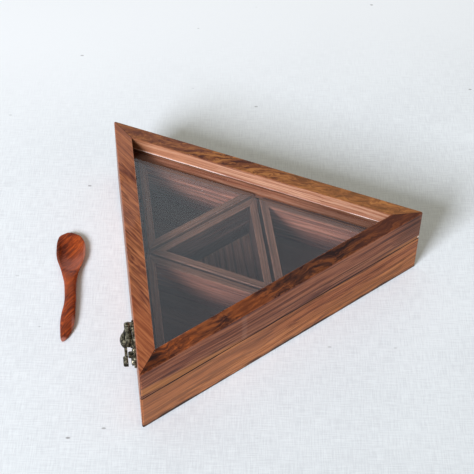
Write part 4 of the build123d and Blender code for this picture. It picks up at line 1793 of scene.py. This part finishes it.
@dataclass
class Studio:
    """The cloth, the lamp, the room and the camera."""

    floor_half: float = 3.0
    room: Rgb = (0.388, 0.38, 0.338)
    mirrored: Rgb = (0.58, 0.595, 0.665)
    window: Rgb = (0.86, 0.92, 1.0)
    window_edge: Span = (-0.93, -0.70)
    window_lean: float = -1.5
    lamp_place: Point = (-0.56, -2.69, 1.68)
    lamp_aim: Point = (0.0, 0.0, 0.02)
    lamp_size: float = 1.1
    lamp_watts: float = 149.0
    lamp_tint: Rgb = (0.84, 0.88, 1.0)
    eye: Point = (0.23465447, -0.562835, 0.68336613)
    right: Point = (0.92248859, 0.38583541, 0.01207664)
    down: Point = (0.28679119, -0.66407322, -0.69047634)
    ahead: Point = (-0.25839044, 0.64042002, -0.72325416)
    lens: float = 102.319
    sensor: float = 36.0

    def hang(self, name: str, data: bpy.types.ID) -> bpy.types.Object:
        """Put a lamp or a camera into the scene.

        Args:
            name: What it is called.
            data: The lamp or the camera.

        Returns:
            Its object.
        """
        made = bpy.data.objects.new(name, data)
        bpy.context.scene.collection.objects.link(made)
        return made

    def cloth(self) -> None:
        """A wide pale cloth that the box stands on."""
        build = bmesh.new()
        bmesh.ops.create_grid(build, x_segments=24, y_segments=24, size=self.floor_half)
        floor = mesh_of(build, "cloth")
        floor.data.materials.append(Linen().material("linen"))

    def lamp(self) -> None:
        """A soft box that looks at the middle of the box."""
        data = bpy.data.lights.new("front_softbox", "AREA")
        data.shape = "RECTANGLE"
        data.size = data.size_y = self.lamp_size
        data.energy = self.lamp_watts
        data.color = self.lamp_tint
        made = self.hang("front_softbox", data)
        made.location = self.lamp_place
        aim = Vector(self.lamp_aim) - Vector(self.lamp_place)
        made.rotation_euler = aim.to_track_quat("-Z", "Y").to_euler()

    def world(self) -> None:
        """An even room: a plain level for the light, and a paler one for what is seen or mirrored."""
        made = bpy.data.worlds.new("room")
        bpy.context.scene.world = made
        made.use_nodes = True
        made.node_tree.nodes.clear()
        sheet = Sheet(made.node_tree)
        path = sheet.node("ShaderNodeLightPath").outputs
        seen = sheet.most(path["Is Camera Ray"], path["Is Glossy Ray"])
        seen = sheet.most(seen, path["Is Transmission Ray"])
        x, _, z = sheet.split(sheet.node("ShaderNodeTexCoord").outputs["Generated"])
        left = sheet.less(sheet.times(z, self.window_lean), x)
        mirrored = sheet.blend(sheet.ramp(left, *self.window_edge), self.mirrored, self.window)
        back = sheet.first("ShaderNodeBackground", sheet.blend(seen, self.room, mirrored), 1.0)
        sheet.node("ShaderNodeOutputWorld", {"Surface": back})

    def camera(self) -> None:
        """The photograph's own viewpoint."""
        data = bpy.data.cameras.new("view")
        data.lens, data.sensor_width, data.sensor_fit = self.lens, self.sensor, "HORIZONTAL"
        data.clip_start, data.clip_end = 0.01, 20.0
        made = self.hang("view", data)
        axes = Matrix((Vector(self.right), -Vector(self.down), -Vector(self.ahead))).transposed().to_4x4()
        made.matrix_world = Matrix.Translation(Vector(self.eye)) @ axes
        bpy.context.scene.camera = made

    def build(self) -> None:
        """Set everything up."""
        self.cloth()
        self.world()
        self.lamp()
        self.camera()
        bpy.context.scene.view_settings.view_transform = "Standard"


def main() -> None:
    """Build and dress every sub-assembly in order."""
    logging.basicConfig(level=logging.INFO, format="%(name)s: %(message)s")
    shop = Workshop(Effects(), FastenerTree(), BeadTree(), DustTree(), PuttyTree())
    for assembly in (BoxShell(), LidGlass(), TraySet(), HingePair(), Hasp(), Spoon()):
        assembly.build(shop)
        log.info("%s is built", type(assembly).__name__)
    Studio().build()


if __name__ == "__main__":
    main()
